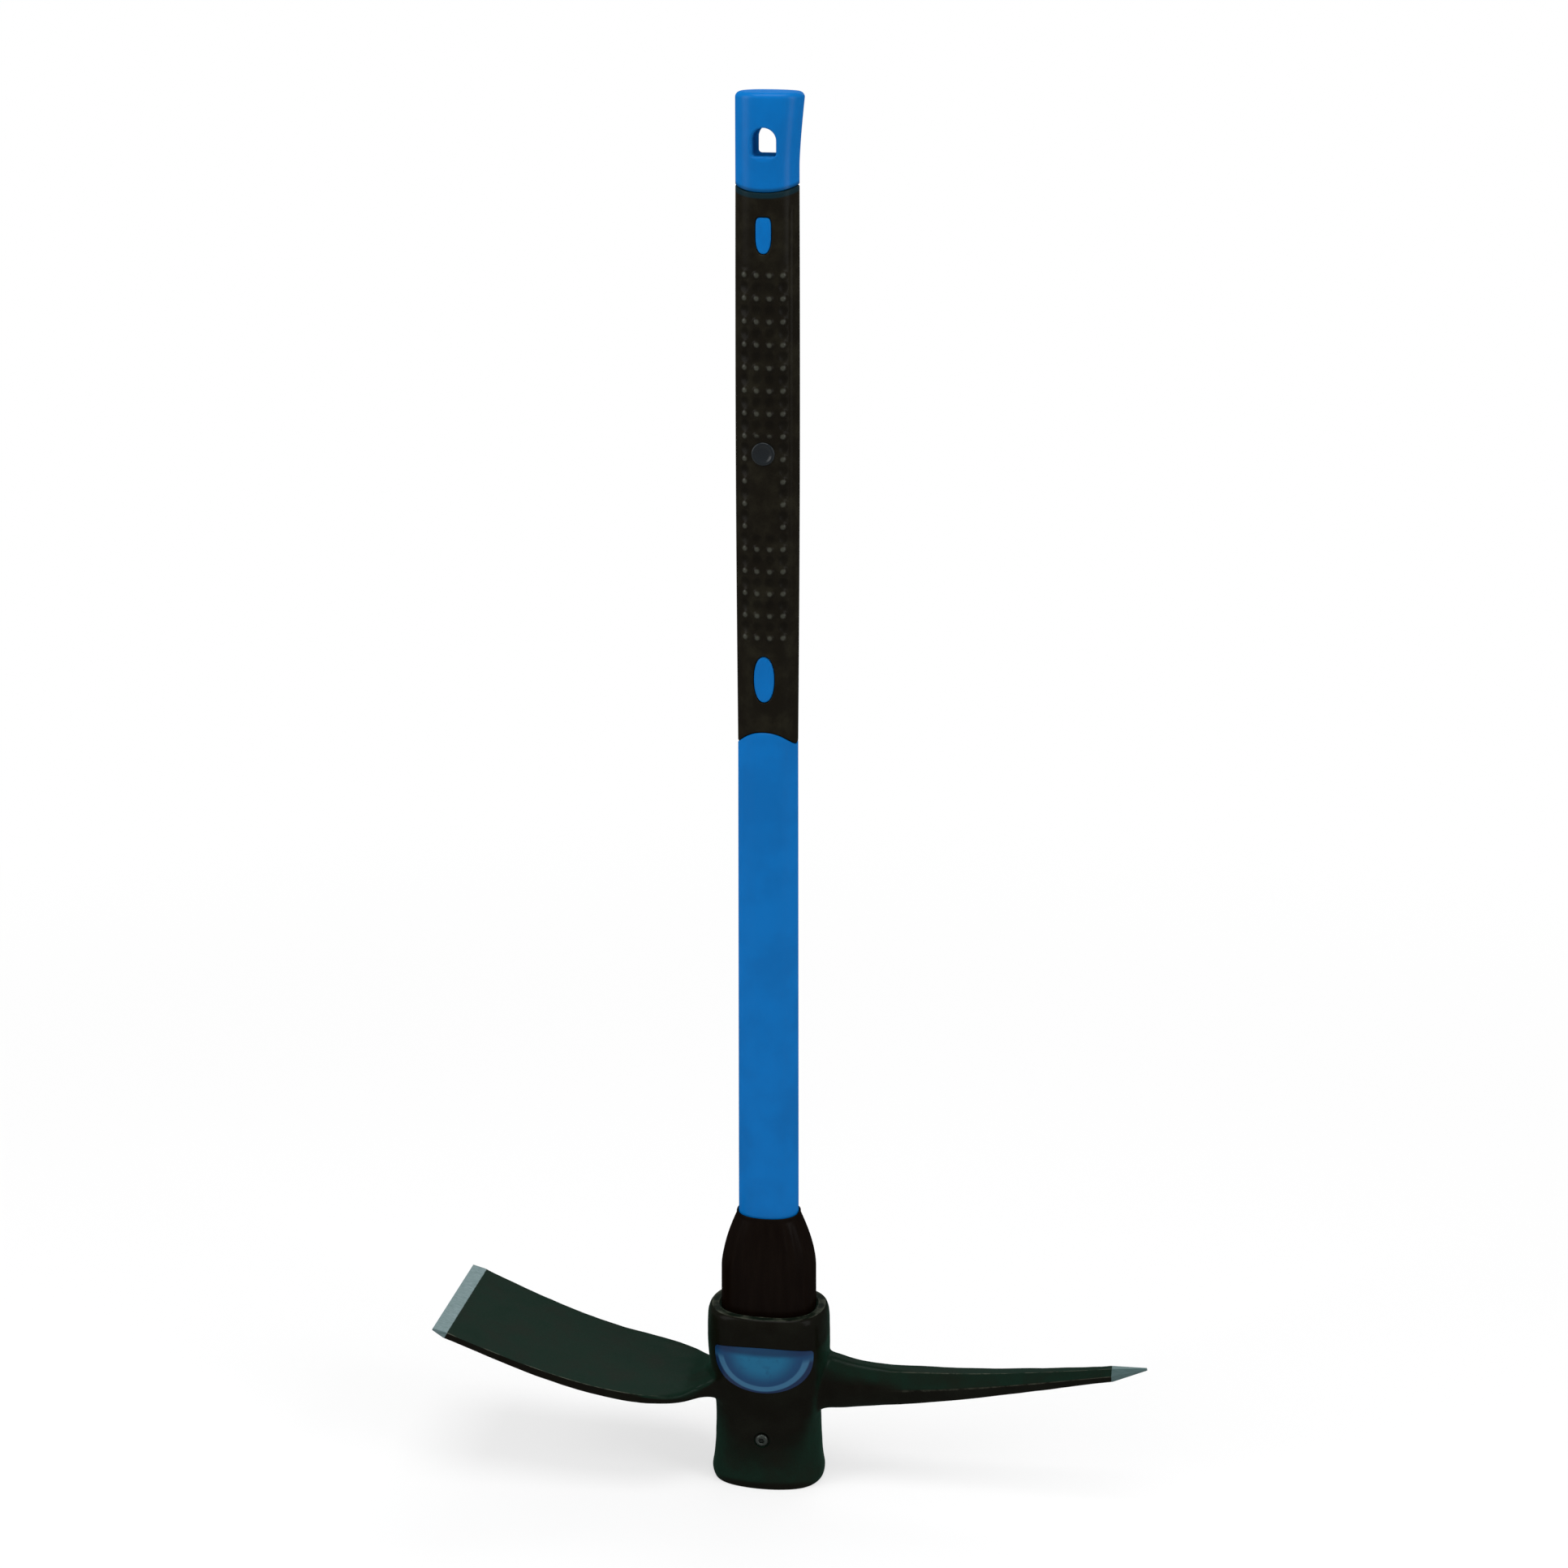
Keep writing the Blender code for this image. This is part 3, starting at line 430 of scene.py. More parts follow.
@dataclass(frozen=True)
class ForgedEnamel(Finish):
    """Dark green enamel over a forging, ground bare at the cutting edge and the point."""

    title: ClassVar[str] = "forged enamel"
    slot: ClassVar[Slot] = Slot.PAINTED_STEEL
    coat: Colour = from_screen(12, 29, 21)
    front_shade_coat: Colour = from_screen(10, 8, 4)
    thin_coat: Colour = from_screen(15, 16, 9)
    bloom: Colour = (0.35, 1.0, 0.75)
    worn: Colour = from_screen(82, 84, 73)
    steel: Colour = from_screen(103, 119, 122)
    dull_steel: Colour = from_screen(64, 84, 83)
    metal_share: float = 0.5
    edge_at: Point2 = (-217.0, 109.5)
    edge_lean: float = math.radians(24.7)
    edge_band: float = 9.8
    blade_from: Point2 = (-150.0, -160.0)
    point_from: float = 228.6
    border: float = 0.25
    collar_from: Point2 = (98.0, 118.0)
    eye_reach: Point2 = (60.0, 50.0)
    screw_level: float = 35.5
    screw_clear: float = 9.0

    def bare(self, board: Board, spot: Wire) -> Wire:
        """Return where the steel is ground bare.

        Args:
            board: the board of the material.
            spot: the place on the piece in millimetres.

        Returns:
            1 on ground steel and 0 on enamel.
        """
        x, _, z = board.axes(spot)
        cosine, sine = math.cos(self.edge_lean), math.sin(self.edge_lean)
        end = -self.edge_at[0] * cosine + self.edge_at[1] * sine
        wobble = board.grain(spot, 3.0) * 0.9 - 0.45
        along = x * -cosine + z * sine - end + self.edge_band + wobble
        blade = board.fade(along, -self.border, self.border) * board.fade(x, *self.blade_from)
        return blade + board.fade(x + wobble * 0.7, self.point_from - self.border,
                                  self.point_from + self.border)

    def sockets(self, board: Board) -> dict[str, Any]:
        """Wire the enamel and the ground steel.

        Args:
            board: where they are wired.

        Returns:
            The values of the shader's sockets.
        """
        spot = board.place()
        bare = self.bare(board, spot)
        patches = board.grain(spot, 22.0, 4.0, 0.6)
        peel = board.grain(spot, 1.6, 2.0)
        scale = board.grain(spot, 7.0, 5.0, 0.62)
        marks = board.grain(board.stretch(spot, (0.06, 2.6, 1.4)), 1.0, 4.0, 0.7)
        x, _, z = board.axes(spot)
        # Painted light and shade: the enamel is painted browner where it faces front or back, on
        # the collar and higher up, and greener where it faces the sides and up.
        _, facing, upward = board.axes(board.add("ShaderNodeNewGeometry", output="Normal"))
        collar = board.fade(z, *self.collar_from) * board.fade(abs(x), *self.eye_reach)
        facing_shade = abs(facing) - upward * 1.4 + z * 0.0055 + patches * 0.3 + collar * 1.8
        coat = board.mix(board.fade(facing_shade, 0.85, 1.4), self.coat, self.front_shade_coat)
        coat = board.mix(board.fade(patches, 0.4, 0.75) * 0.5, coat, self.thin_coat)
        from_screw = (x ** 2.0 + (z - self.screw_level) ** 2.0) ** 0.5
        # Paler enamel on sharp edges, partly wear and partly painted highlight on the collar's rim
        # and the pick's ridges; none round the screw.
        rubbed = board.edge_share(0.507, 0.54) * board.fade(scale, 0.34, 0.6) * 0.65
        rubbed = rubbed * board.fade(from_screw, self.screw_clear - 1.0, self.screw_clear)
        coat = board.mix(rubbed, coat, self.worn)
        clean = board.fade(marks, 0.3, 0.7) * board.fade(x, 0.0, 1.0, 1.0, 0.3)
        steel = board.mix(clean, self.dull_steel, self.steel)
        enamel_rough = 0.5 - 0.14 * patches + 0.1 * rubbed
        steel_rough = 0.3 + 0.2 * marks
        hammered = board.bump(scale * (1 - bare), 0.3)
        return {
            "Base Color": board.mix(bare, coat, steel),
            "Metallic": bare * self.metal_share,
            "Roughness": enamel_rough + bare * (steel_rough - enamel_rough),
            "Sheen Weight": 0.05,
            "Sheen Roughness": 0.35,
            "Sheen Tint": self.bloom,
            "Normal": board.bump(peel * (1 - bare) + marks * bare * 0.6, 0.03, Normal=hammered),
            **faint_shine(0.006 + 0.012 * patches * (1 - rubbed), 0.24)}


def joint_height(board: Board, y: Wire, z: Wire) -> Wire:
    """Return how far a place lies above the grip's scalloped upper edge.

    Args:
        board: the board of the material.
        y: its depth in millimetres.
        z: its height in millimetres.

    Returns:
        The distance in millimetres.
    """
    shape = HandleShape()
    dip = (y * (2 * MM / (shape.butt_width - 2 * shape.oval_less))) ** 2.0
    return z + dip * (shape.top_scallop / MM) - shape.grip_top / MM


@dataclass(frozen=True)
class MouldedBlue(Finish):
    """Blue jacket plastic, semi-gloss, with faint draw lines and moulding lines."""

    title: ClassVar[str] = "moulded blue plastic"
    slot: ClassVar[Slot] = Slot.BLUE_PLASTIC
    main: Colour = from_screen(0, 98, 168)
    deep: Colour = from_screen(0, 92, 159)
    scuff: Colour = from_screen(26, 116, 182)
    joint_shade: Colour = from_screen(0, 56, 96)
    hole_depth: Point2 = (14.3, 13.2)
    hole_half: Point2 = (9.1, 8.7)
    hole_levels: Point2 = (869.0, 900.0)

    def sockets(self, board: Board) -> dict[str, Any]:
        """Wire the blue plastic.

        Args:
            board: where it is wired.

        Returns:
            The values of the shader's sockets.
        """
        spot = board.place()
        x, y, z = board.axes(spot)
        above = joint_height(board, y, z)
        # Painted shadow: a darker band on the jacket just above the grip's upper edge.
        joint_shade = board.fade(above, 3.4, 1.2) * board.fade(above, -1.0, 0.0) * 0.85
        # Painted light: the hang hole's walls are painted the paler scuff blue against the shade in
        # them, and lose their coat.
        hole_light = board.fade(abs(y), *self.hole_depth) * board.fade(abs(x), *self.hole_half)
        hole_light = hole_light * board.between(z, *self.hole_levels, 3.0)
        lines = board.grain(board.stretch(spot, (1.0, 1.0, 0.012)), 1.3)
        cloud = board.grain(spot, 30.0)
        marks = board.grain(board.stretch(spot, (0.9, 0.9, 0.35)), 2.2, 5.0, 0.65)
        seam = board.fade(abs(y), 0.45, 0.15)
        rubbed = board.fade(marks, 0.62, 0.8) * 0.22 + board.edge_share(0.53, 0.6) * 0.3
        colour = board.mix(board.fade(cloud, 0.35, 0.65), self.main, self.deep)
        # Paler blue on the scuffs, and as painted light on the hang hole's walls.
        colour = board.mix(board.maths("MAXIMUM", rubbed, hole_light), colour, self.scuff)
        return {
            "Base Color": board.mix(joint_shade, colour, self.joint_shade),
            "Roughness": 0.36 + 0.12 * marks + 0.08 * rubbed,
            "Normal": board.bump(lines * 0.5 + marks * 0.5 + seam * 2.0, 0.035),
            **faint_shine((0.03 - 0.01 * rubbed) * (1 - hole_light), 0.28)}


@dataclass(frozen=True)
class Lattice:
    """Where the grip's pips stand, with a pit halfway between two rows."""

    pitch: float = 8.0 * MM
    rise: float = 14.1 * MM
    start: float = 580.3 * MM
    rows: int = 17
    half: float = 15.4 * MM
    plain_half: float = 8.0 * MM
    plain: Point2 = (644.0 * MM, 708.5 * MM)
    side_fade: Point2 = (0.8 * MM, 1.4 * MM)
    end_fade: Point2 = (6.5 * MM, 3.0 * MM)
    plain_fade: Point2 = (1.5 * MM, 3.0 * MM)

    @property
    def top(self) -> float:
        """Height of the highest row."""
        return self.start + self.rise * (self.rows - 1)

    def near(self, x: float, z: float) -> Triple:
        """Measure a place against the lattice.

        Args:
            x: place across the grip.
            z: height.

        Returns:
            How far the nearest column, row of pips and row of pits lie.
        """
        across = x / self.pitch - 0.5
        along = (z - self.start) / self.rise
        to_row = abs(along - round(along)) * self.rise
        return abs(across - round(across)) * self.pitch, to_row, self.rise / 2 - to_row

    def inside(self, x: float, z: float) -> float:
        """Tell where the lattice is.

        Args:
            x: place across the grip.
            z: height.

        Returns:
            1 where there are pips and 0 on the plain rubber.
        """
        (out, back), (far, near), (side, end) = self.side_fade, self.end_fade, self.plain_fade
        share = ease(abs(x), self.half + out, self.half - back)
        share *= ease(z, self.start - far, self.start - near)
        share *= ease(z, self.top + far, self.top + near)
        plain = ease(abs(x), self.plain_half, self.plain_half - side)
        plain *= ease(z, self.plain[0], self.plain[0] + end)
        return share * (1 - plain * ease(z, self.plain[1], self.plain[1] - end))


@dataclass(frozen=True)
class MattRubber(Finish):
    """Black rubber with a fine moulded grain, its pip tips painted grey as hand wear and painted
    highlight, its pits as painted shade.
    """

    title: ClassVar[str] = "matt black rubber"
    slot: ClassVar[Slot] = Slot.BLACK_RUBBER
    main: Colour = from_screen(16, 13, 7)
    pit: Colour = from_screen(7, 5, 2)
    dust: Colour = from_screen(38, 36, 26)
    tip: Colour = from_screen(47, 48, 40)
    band: Colour = from_screen(10, 36, 44)
    rough: float = 0.66
    lattice: Lattice = Lattice()

    def marks(self, board: Board, spot: Wire) -> tuple[Wire, Wire]:
        """Return where the tips and the pits are.

        Args:
            board: the board of the material.
            spot: the place on the piece in millimetres.

        Returns:
            1 on the tips of the pips, and 1 in the pits between them.
        """
        x, _, z = board.axes(spot)
        lattice = self.lattice
        pitch, rise, start, top, half, plain_half, low, high = (length / MM for length in (
            lattice.pitch, lattice.rise, lattice.start, lattice.top, lattice.half,
            lattice.plain_half, *lattice.plain))
        near_x = board.maths("PINGPONG", x * (1 / pitch) - 0.5, 0.5) * pitch
        near_z = board.maths("PINGPONG", (z - start) * (1 / rise), 0.5) * rise
        side = near_x ** 2.0
        to_pip, to_pit = (side + near_z ** 2.0) ** 0.5, (side + (rise / 2 - near_z) ** 2.0) ** 0.5
        plain = board.fade(abs(x), plain_half, plain_half - 1.5) * board.between(z, low, high, 3.0)
        field = board.fade(abs(x), half + 0.8, half - 1.4)
        field = field * board.between(z, start - 4.0, top + 4.0, 1.5) * (1 - plain)
        return board.fade(to_pip, 2.1, 0.7) * field, board.fade(to_pit, 4.2, 1.6) * field

    def sockets(self, board: Board) -> dict[str, Any]:
        """Wire the rubber of the grip.

        Args:
            board: where it is wired.

        Returns:
            The values of the shader's sockets.
        """
        spot = board.place()
        tips, pits = self.marks(board, spot)
        cloud = board.grain(spot, 14.0, 4.0, 0.6)
        pores = board.cells(spot, 0.55)
        grain = board.grain(spot, 0.7, 3.0, 0.6)
        # The tips of the pips are painted paler grey, partly as hand wear and partly as painted
        # highlight.
        rubbed = tips * board.fade(grain + cloud, 0.6, 1.15, 0.55, 1.0)
        colour = board.mix(board.fade(cloud, 0.4, 0.75) * 0.45, self.main, self.dust)
        # Painted shade: the pits between the pips are painted darker.
        colour = board.mix(pits * 0.6, colour, self.pit)
        _, y, z = board.axes(spot)
        above = joint_height(board, y, z)
        colour = board.mix(board.fade(above, -4.0, -2.6) * 0.8, colour, self.band)
        return {
            "Base Color": board.mix(rubbed, colour, self.tip),
            "Roughness": self.rough + 0.12 * grain - 0.18 * rubbed,
            "Normal": board.bump(pores * 0.6 + grain * 0.6, 0.05),
            **faint_shine(0.01 + 0.008 * grain + 0.05 * tips, 0.3)}


@dataclass(frozen=True)
class GlossyButton(Finish):
    """Smooth dark rubber with a polished, slightly blue face."""

    title: ClassVar[str] = "polished button rubber"
    slot: ClassVar[Slot] = Slot.BLACK_RUBBER
    main: Colour = from_screen(10, 16, 20)
    rim: Colour = from_screen(34, 40, 42)

    def sockets(self, board: Board) -> dict[str, Any]:
        """Wire the rubber of the button.

        Args:
            board: where it is wired.

        Returns:
            The values of the shader's sockets.
        """
        spot = board.place()
        rim = board.edge_share(0.52, 0.6)
        return {
            "Base Color": board.mix(rim * 0.7, self.main, self.rim),
            "Roughness": 0.16 + 0.1 * board.grain(spot, 4.0, 4.0),
            "Specular IOR Level": 0.16,
            "Normal": board.bump(board.grain(spot, 0.4, 2.0), 0.01)}


@dataclass(frozen=True)
class SatinBulb(Finish):
    """Black plastic of the bulb, satin, with the faint brown of reground resin."""

    title: ClassVar[str] = "satin black plastic"
    slot: ClassVar[Slot] = Slot.BLACK_PLASTIC
    main: Colour = from_screen(9, 4, 2)
    warm: Colour = from_screen(12, 6, 3)
    scuff: Colour = from_screen(34, 29, 24)

    def sockets(self, board: Board) -> dict[str, Any]:
        """Wire the black plastic.

        Args:
            board: where it is wired.

        Returns:
            The values of the shader's sockets.
        """
        spot = board.place()
        _, y, _ = board.axes(spot)
        flow = board.grain(board.stretch(spot, (1.0, 1.0, 0.12)), 5.0, 4.0, 0.6)
        grain = board.grain(spot, 0.6)
        marks = board.grain(board.stretch(spot, (1.2, 1.2, 0.2)), 1.8, 5.0, 0.65)
        seam = board.fade(abs(y), 0.5, 0.2)
        rubbed = board.edge_share(0.52, 0.6) * 0.5 + board.fade(marks, 0.6, 0.78) * 0.12
        colour = board.mix(board.fade(flow, 0.35, 0.7), self.main, self.warm)
        return {
            "Base Color": board.mix(rubbed, colour, self.scuff),
            "Roughness": 0.42 + 0.16 * flow,
            "Normal": board.bump(grain * 0.5 + marks * 0.5 + seam * 2.0, 0.04),
            **faint_shine(0.007 + 0.005 * flow, 0.32)}


@dataclass(frozen=True)
class ZincPlate(Finish):
    """Zinc plating of the set screw, dulled in its recesses."""

    title: ClassVar[str] = "zinc plated steel"
    slot: ClassVar[Slot] = Slot.ZINC_STEEL
    bright: Colour = from_screen(50, 54, 51)
    dull: Colour = from_screen(22, 24, 22)

    def sockets(self, board: Board) -> dict[str, Any]:
        """Wire the zinc.

        Args:
            board: where it is wired.

        Returns:
            The values of the shader's sockets.
        """
        spot = board.place()
        spangle = board.cells(spot, 1.1)
        turning = board.grain(spot, 0.35, 4.0, 0.7)
        dull = board.edge_share(0.5, 0.44) * 0.7 + board.fade(spangle, 0.4, 0.8) * 0.3
        return {
            "Base Color": board.mix(dull, self.bright, self.dull),
            "Metallic": 1.0,
            "Roughness": 0.28 + 0.22 * turning,
            "Normal": board.bump(turning + spangle * 0.5, 0.02)}


@dataclass(frozen=True)
class BlankVinyl(Finish):
    """Printed vinyl with nothing written on it: a blue ground that is paler in the middle."""

    title: ClassVar[str] = "blank blue vinyl"
    slot: ClassVar[Slot] = Slot.BLUE_VINYL
    dark: Colour = from_screen(5, 30, 62)
    ground: Colour = from_screen(8, 52, 88)
    pale: Colour = from_screen(16, 86, 120)
    line: Colour = from_screen(62, 112, 142)
    middle: Point2 = (1.0, 98.0)
    half_width: float = 32.5
    height: float = 26.5

    def sockets(self, board: Board) -> dict[str, Any]:
        """Wire the print, with a pale border along its round foot.

        Args:
            board: where it is wired.

        Returns:
            The values of the shader's sockets.
        """
        spot = board.place()
        x, _, z = board.axes(spot)
        wide = ((x - self.middle[0]) * (1 / self.half_width)) ** 2.0
        tall = ((z - self.middle[1]) * (1 / self.height)) ** 2.0
        reach = (wide + tall) ** 0.5
        creases = board.grain(spot, 6.0, 4.0, 0.6)
        lower = board.fade(z, 97.0, 92.0)
        ground = board.mix(board.fade(reach, 0.8, 0.35), self.ground, self.pale)
        ground = board.mix(board.fade(z, 96.5, 100.5) * 0.8, ground, self.dark)
        ground = board.mix(board.fade(reach, 0.8, 0.84) * lower * 0.5, ground, self.line)
        ground = board.mix(board.fade(reach, 0.93, 0.97) * lower, ground, self.dark)
        worn = board.fade(creases, 0.55, 0.75) * 0.25
        return {
            "Base Color": board.mix(worn, ground, self.dark),
            "Roughness": 0.3 + 0.2 * creases,
            "Specular IOR Level": 0.15,
            "Normal": board.bump(creases, 0.08)}


@dataclass(frozen=True)
class CutFibreglass(Finish):
    """Sawn end of the pultruded rod: pale resin with the ends of its fibres."""

    title: ClassVar[str] = "cut fibreglass"
    slot: ClassVar[Slot] = Slot.FIBREGLASS
    resin: Colour = from_screen(196, 186, 150)
    fibre: Colour = from_screen(150, 138, 98)

    def sockets(self, board: Board) -> dict[str, Any]:
        """Wire the sawn rod.

        Args:
            board: where it is wired.

        Returns:
            The values of the shader's sockets.
        """
        spot = board.place()
        strands = board.cells(board.stretch(spot, (1.0, 1.0, 0.02)), 0.8)
        stains = board.grain(board.stretch(spot, (1.0, 1.0, 0.05)), 6.0, 4.0)
        share = board.fade(strands, 0.2, 0.6) * 0.6 + stains * 0.4
        return {
            "Base Color": board.mix(share, self.resin, self.fibre),
            "Roughness": 0.5 + 0.25 * stains,
            "Normal": board.bump(strands, 0.08)}


@dataclass(frozen=True)
class Outline:
    """A closed outline in x and z."""

    points: tuple[Point2, ...]

    def grown(self, by: float) -> list[Point2]:
        """Push the outline outward.

        Args:
            by: how far.

        Returns:
            Its points.
        """
        pushed = []
        for i, (x, z) in enumerate(self.points):
            before, after = self.points[i - 1], self.points[(i + 1) % len(self.points)]
            along_x, along_z = after[0] - before[0], after[1] - before[1]
            length = math.hypot(along_x, along_z)
            pushed.append((x + along_z / length * by, z - along_x / length * by))
        return pushed

    @staticmethod
    def oval(half_x: float, half_z: float, level: float, top_power: float, foot_power: float,
             sides: int = 72) -> "Outline":
        """Make an upright oval.

        Args:
            half_x: half width.
            half_z: half height.
            level: height of its middle.
            top_power: squareness of its upper half.
            foot_power: squareness of its lower half.
            sides: number of points.

        Returns:
            The outline.
        """
        points = []
        for angle in turn(sides):
            power = top_power if math.sin(angle) > 0 else foot_power
            x, z = oval_point(half_x, half_z, power, angle)
            points.append((x, level + z))
        return Outline(tuple(points))

    @staticmethod
    def arch(width: float, height: float, corner: float, foot: float) -> "Outline":
        """Make a flat-footed arch.

        Args:
            width: its width.
            height: its height.
            corner: radius of its lower corners.
            foot: height of its foot.

        Returns:
            The outline.
        """
        radius = width / 2
        points = [(radius * math.cos(a), foot + height - radius + radius * math.sin(a))
                  for a in spread(0.0, math.pi, 33)]
        for middle, start in ((corner - radius, math.pi), (radius - corner, 1.5 * math.pi)):
            points += [(middle + corner * math.cos(a), foot + corner + corner * math.sin(a))
                       for a in spread(start, start + math.pi / 2, 7)]
        return Outline(tuple(points))


@dataclass(frozen=True)
class HandleShape:
    """The oval outside of the handle, along its length."""

    length: float = 914.4 * MM
    foot_width: float = 39.4 * MM
    grip_width: float = 38.0 * MM
    butt_width: float = 38.8 * MM
    oval_less: float = 3.7 * MM
    power: float = 2.3
    jacket_foot: float = 146.0 * MM
    grip_foot: float = 509.6 * MM
    grip_length: float = 349.2 * MM
    flare: float = 3.2 * MM
    flare_length: float = 44.0 * MM
    flare_curve: float = 1.4
    rounding: float = 3.5 * MM
    wall: float = 2.6 * MM
    fit: float = 0.3 * MM
    foot_arch: float = 9.4 * MM
    top_scallop: float = 3.5 * MM

    @property
    def grip_top(self) -> float:
        """Height of the grip's upper end at the sides."""
        return self.grip_foot + self.grip_length

    def foot_edge(self, angle: float) -> float:
        """Return the grip's lower boundary, which arches up at front and back."""
        return self.grip_foot + self.foot_arch * math.sin(angle) ** 2

    def top_edge(self, angle: float) -> float:
        """Return the grip's upper boundary, which dips at front and back."""
        return self.grip_top - self.top_scallop * math.sin(angle) ** 2

    def half_width(self, z: float) -> float:
        """Return the half width at a height, without the flare."""
        low = blend(self.foot_width, self.grip_width, ramp(z, self.jacket_foot, self.grip_foot))
        return blend(low, self.butt_width, ramp(z, self.grip_foot, self.grip_top)) / 2

    def halves(self, z: float, side: float, grow: float) -> Point2:
        """Measure the handle at a height.

        Args:
            z: the height.
            side: more than 0 on the pick's side, where the butt is flared.
            grow: how far its outside is pushed out.

        Returns:
            The half width on that side and the half depth.
        """
        half = self.half_width(z) + grow
        share = ramp(z, self.length - self.flare_length, self.length - self.rounding)
        flare = self.flare * share ** self.flare_curve if side > 0 else 0.0
        return half + flare, half - self.oval_less

    def point(self, z: float, angle: float, grow: float = 0.0) -> Vector:
        """Return a point of the outside, grown or shrunk by a wall."""
        half_x, half_y = self.halves(z, math.cos(angle), grow)
        return Vector((*oval_point(half_x, half_y, self.power, angle), z))

    def depth(self, x: float, z: float, grow: float = 0.0) -> float:
        """Measure how far the front and back lie from the middle plane.

        Args:
            x: place across the handle.
            z: height.
            grow: how far its outside is pushed out.

        Returns:
            The distance.
        """
        half_x, half_y = self.halves(z, x, grow)
        inside = max(0.0, 1 - abs(x / half_x) ** self.power)
        return half_y * inside ** (1 / self.power)

    def angles(self, count: int) -> list[float]:
        """Return angles spaced evenly round the handle."""
        half = self.butt_width / 2
        return even_turn(half, half - self.oval_less, self.power, count)


def through_cutter(name: str, outline: Outline, depth: Callable[[float, float], float],
                   lip: float) -> bpy.types.Object:
    """Make the cutter of an opening from front to back, with rounded mouths.

    Args:
        name: name of the cutter.
        outline: the opening, seen from the front.
        depth: gives how far the surface lies from the middle plane at x and z.
        lip: radius of the rounding at each mouth.

    Returns:
        The cutter.
    """
    degrees = 72
    last = math.radians(degrees)
    steps = rounding(lip, degrees, EDGE_STEPS)
    out, under = steps[-1]
    steps.append((out + 2 * lip * math.sin(last), under - 2 * lip * math.cos(last)))
    steps.append((steps[-1][0], -CUT_PAST))

    def mouth(side: int) -> list[Loop]:
        """Return the rings of one mouth, from the inside out."""
        return [[Vector((x, side * (depth(x, z) - under), z)) for x, z in outline.grown(out)]
                for out, under in steps]

    return skin(name, mouth(-1)[::-1] + mouth(1))


@dataclass
class Shaft:
    """The blue jacket: bare shaft, recess under the grip, window pads and flared butt."""

    shape: HandleShape
    grip: "Grip"
    finish: MouldedBlue = MouldedBlue()
    sides: int = 144
    core_half: Point2 = (12.5 * MM, 9.5 * MM)
    pocket: float = 866.5 * MM
    joint_edge: float = 0.5 * MM
    end_insets: tuple[float, ...] = (1.5 * MM, 4.0 * MM, 8.0 * MM)
    foot_rings: int = 60
    butt_rings: int = 42
    shoulder_rings: int = 9
    hole_width: float = 15.5 * MM
    hole_height: float = 17.3 * MM
    hole_below_top: float = 20.6 * MM
    hole_corner: float = 2.0 * MM
    hole_lip: float = 1.1 * MM
    pad_sunk: float = 0.35 * MM
    pad_edge: float = 0.9 * MM
    pad_root: float = 4.2 * MM
    pad_crown: float = 0.04
    pad_insets: tuple[float, ...] = (1.8, 2.8, 3.8)

    def core_ring(self, z: float) -> Loop:
        """Return the bore round the fibreglass rod at a height."""
        halves = (half + self.shape.fit for half in self.core_half)
        return oval_ring(*halves, 2.0, self.shape.angles(self.sides), z)

    def outside(self) -> bpy.types.Object:
        """Make the jacket before its hole is cut and its pads are added.

        Returns:
            The jacket.
        """
        shape, edge, angles = self.shape, self.joint_edge, self.shape.angles(self.sides)
        under, shoulder = -shape.wall - shape.fit, shape.length - shape.rounding

        def ring(height: Callable[[float], float], grow: float = 0.0) -> Loop:
            """Return a ring whose height depends on the angle."""
            return [shape.point(height(a), a, grow) for a in angles]

        def foot(a: float) -> float:
            """Return where the recess starts."""
            return shape.foot_edge(a) - shape.fit

        def top(a: float) -> float:
            """Return where the recess ends."""
            return shape.top_edge(a) + shape.fit

        rings = [self.core_ring(self.pocket), self.core_ring(shape.jacket_foot)]
        rings += [ring(lambda a: blend(shape.jacket_foot, foot(a) - edge, share))
                  for share in spread(0.0, 1.0, self.foot_rings)]
        rings += [ring(foot, -edge), ring(foot, under), ring(top, under), ring(top, -edge)]
        rings += [ring(lambda a: blend(top(a) + edge, shoulder, share))
                  for share in spread(0.0, 1.0, self.butt_rings)]
        rings += [ring(lambda a: shoulder + shape.rounding * math.sin(swing),
                       -(shape.rounding * (1 - math.cos(swing))))
                  for swing in spread(0.0, math.pi / 2, self.shoulder_rings)[1:]]
        rings += [ring(lambda a: shape.length, -shape.rounding - inset)
                  for inset in self.end_insets]
        return skin("blue_jacket", rings)

    def pad(self, outline: Outline, side: int) -> bpy.types.Object:
        """Make one pad that fills a window of the grip, with a rounded edge.

        Args:
            outline: the window.
            side: -1 for the front and 1 for the back.

        Returns:
            The pad, which reaches into the jacket's wall.
        """
        def ring(inset: float, below: float) -> Loop:
            """Return a ring of the pad, below the grip's face."""
            return [Vector((x, side * (self.grip.face(x, z) - below), z))
                    for x, z in outline.grown(-inset)]

        rings = [ring(self.shape.fit, self.pad_root)]
        rings += [ring(self.shape.fit + inset, self.pad_sunk + below)
                  for inset, below in rounding(self.pad_edge, 90, EDGE_STEPS)]
        rings += [ring(inset * MM, self.pad_sunk - self.pad_crown * inset * MM)
                  for inset in self.pad_insets]
        return skin(f"pad{side}", rings)

    def build(self) -> None:
        """Build and dress the jacket."""
        jacket = self.outside()
        for outline in self.grip.windows():
            for side in (-1, 1):
                combine(jacket, self.pad(outline, side), Operation.JOIN)
        foot = self.shape.length - self.hole_below_top - self.hole_height
        hole = Outline.arch(self.hole_width, self.hole_height, self.hole_corner, foot)
        combine(jacket, through_cutter("hang hole", hole, self.shape.depth, self.hole_lip),
                Operation.CUT)
        self.finish.dress(jacket, Body.HANDLE, "handle_jacket")


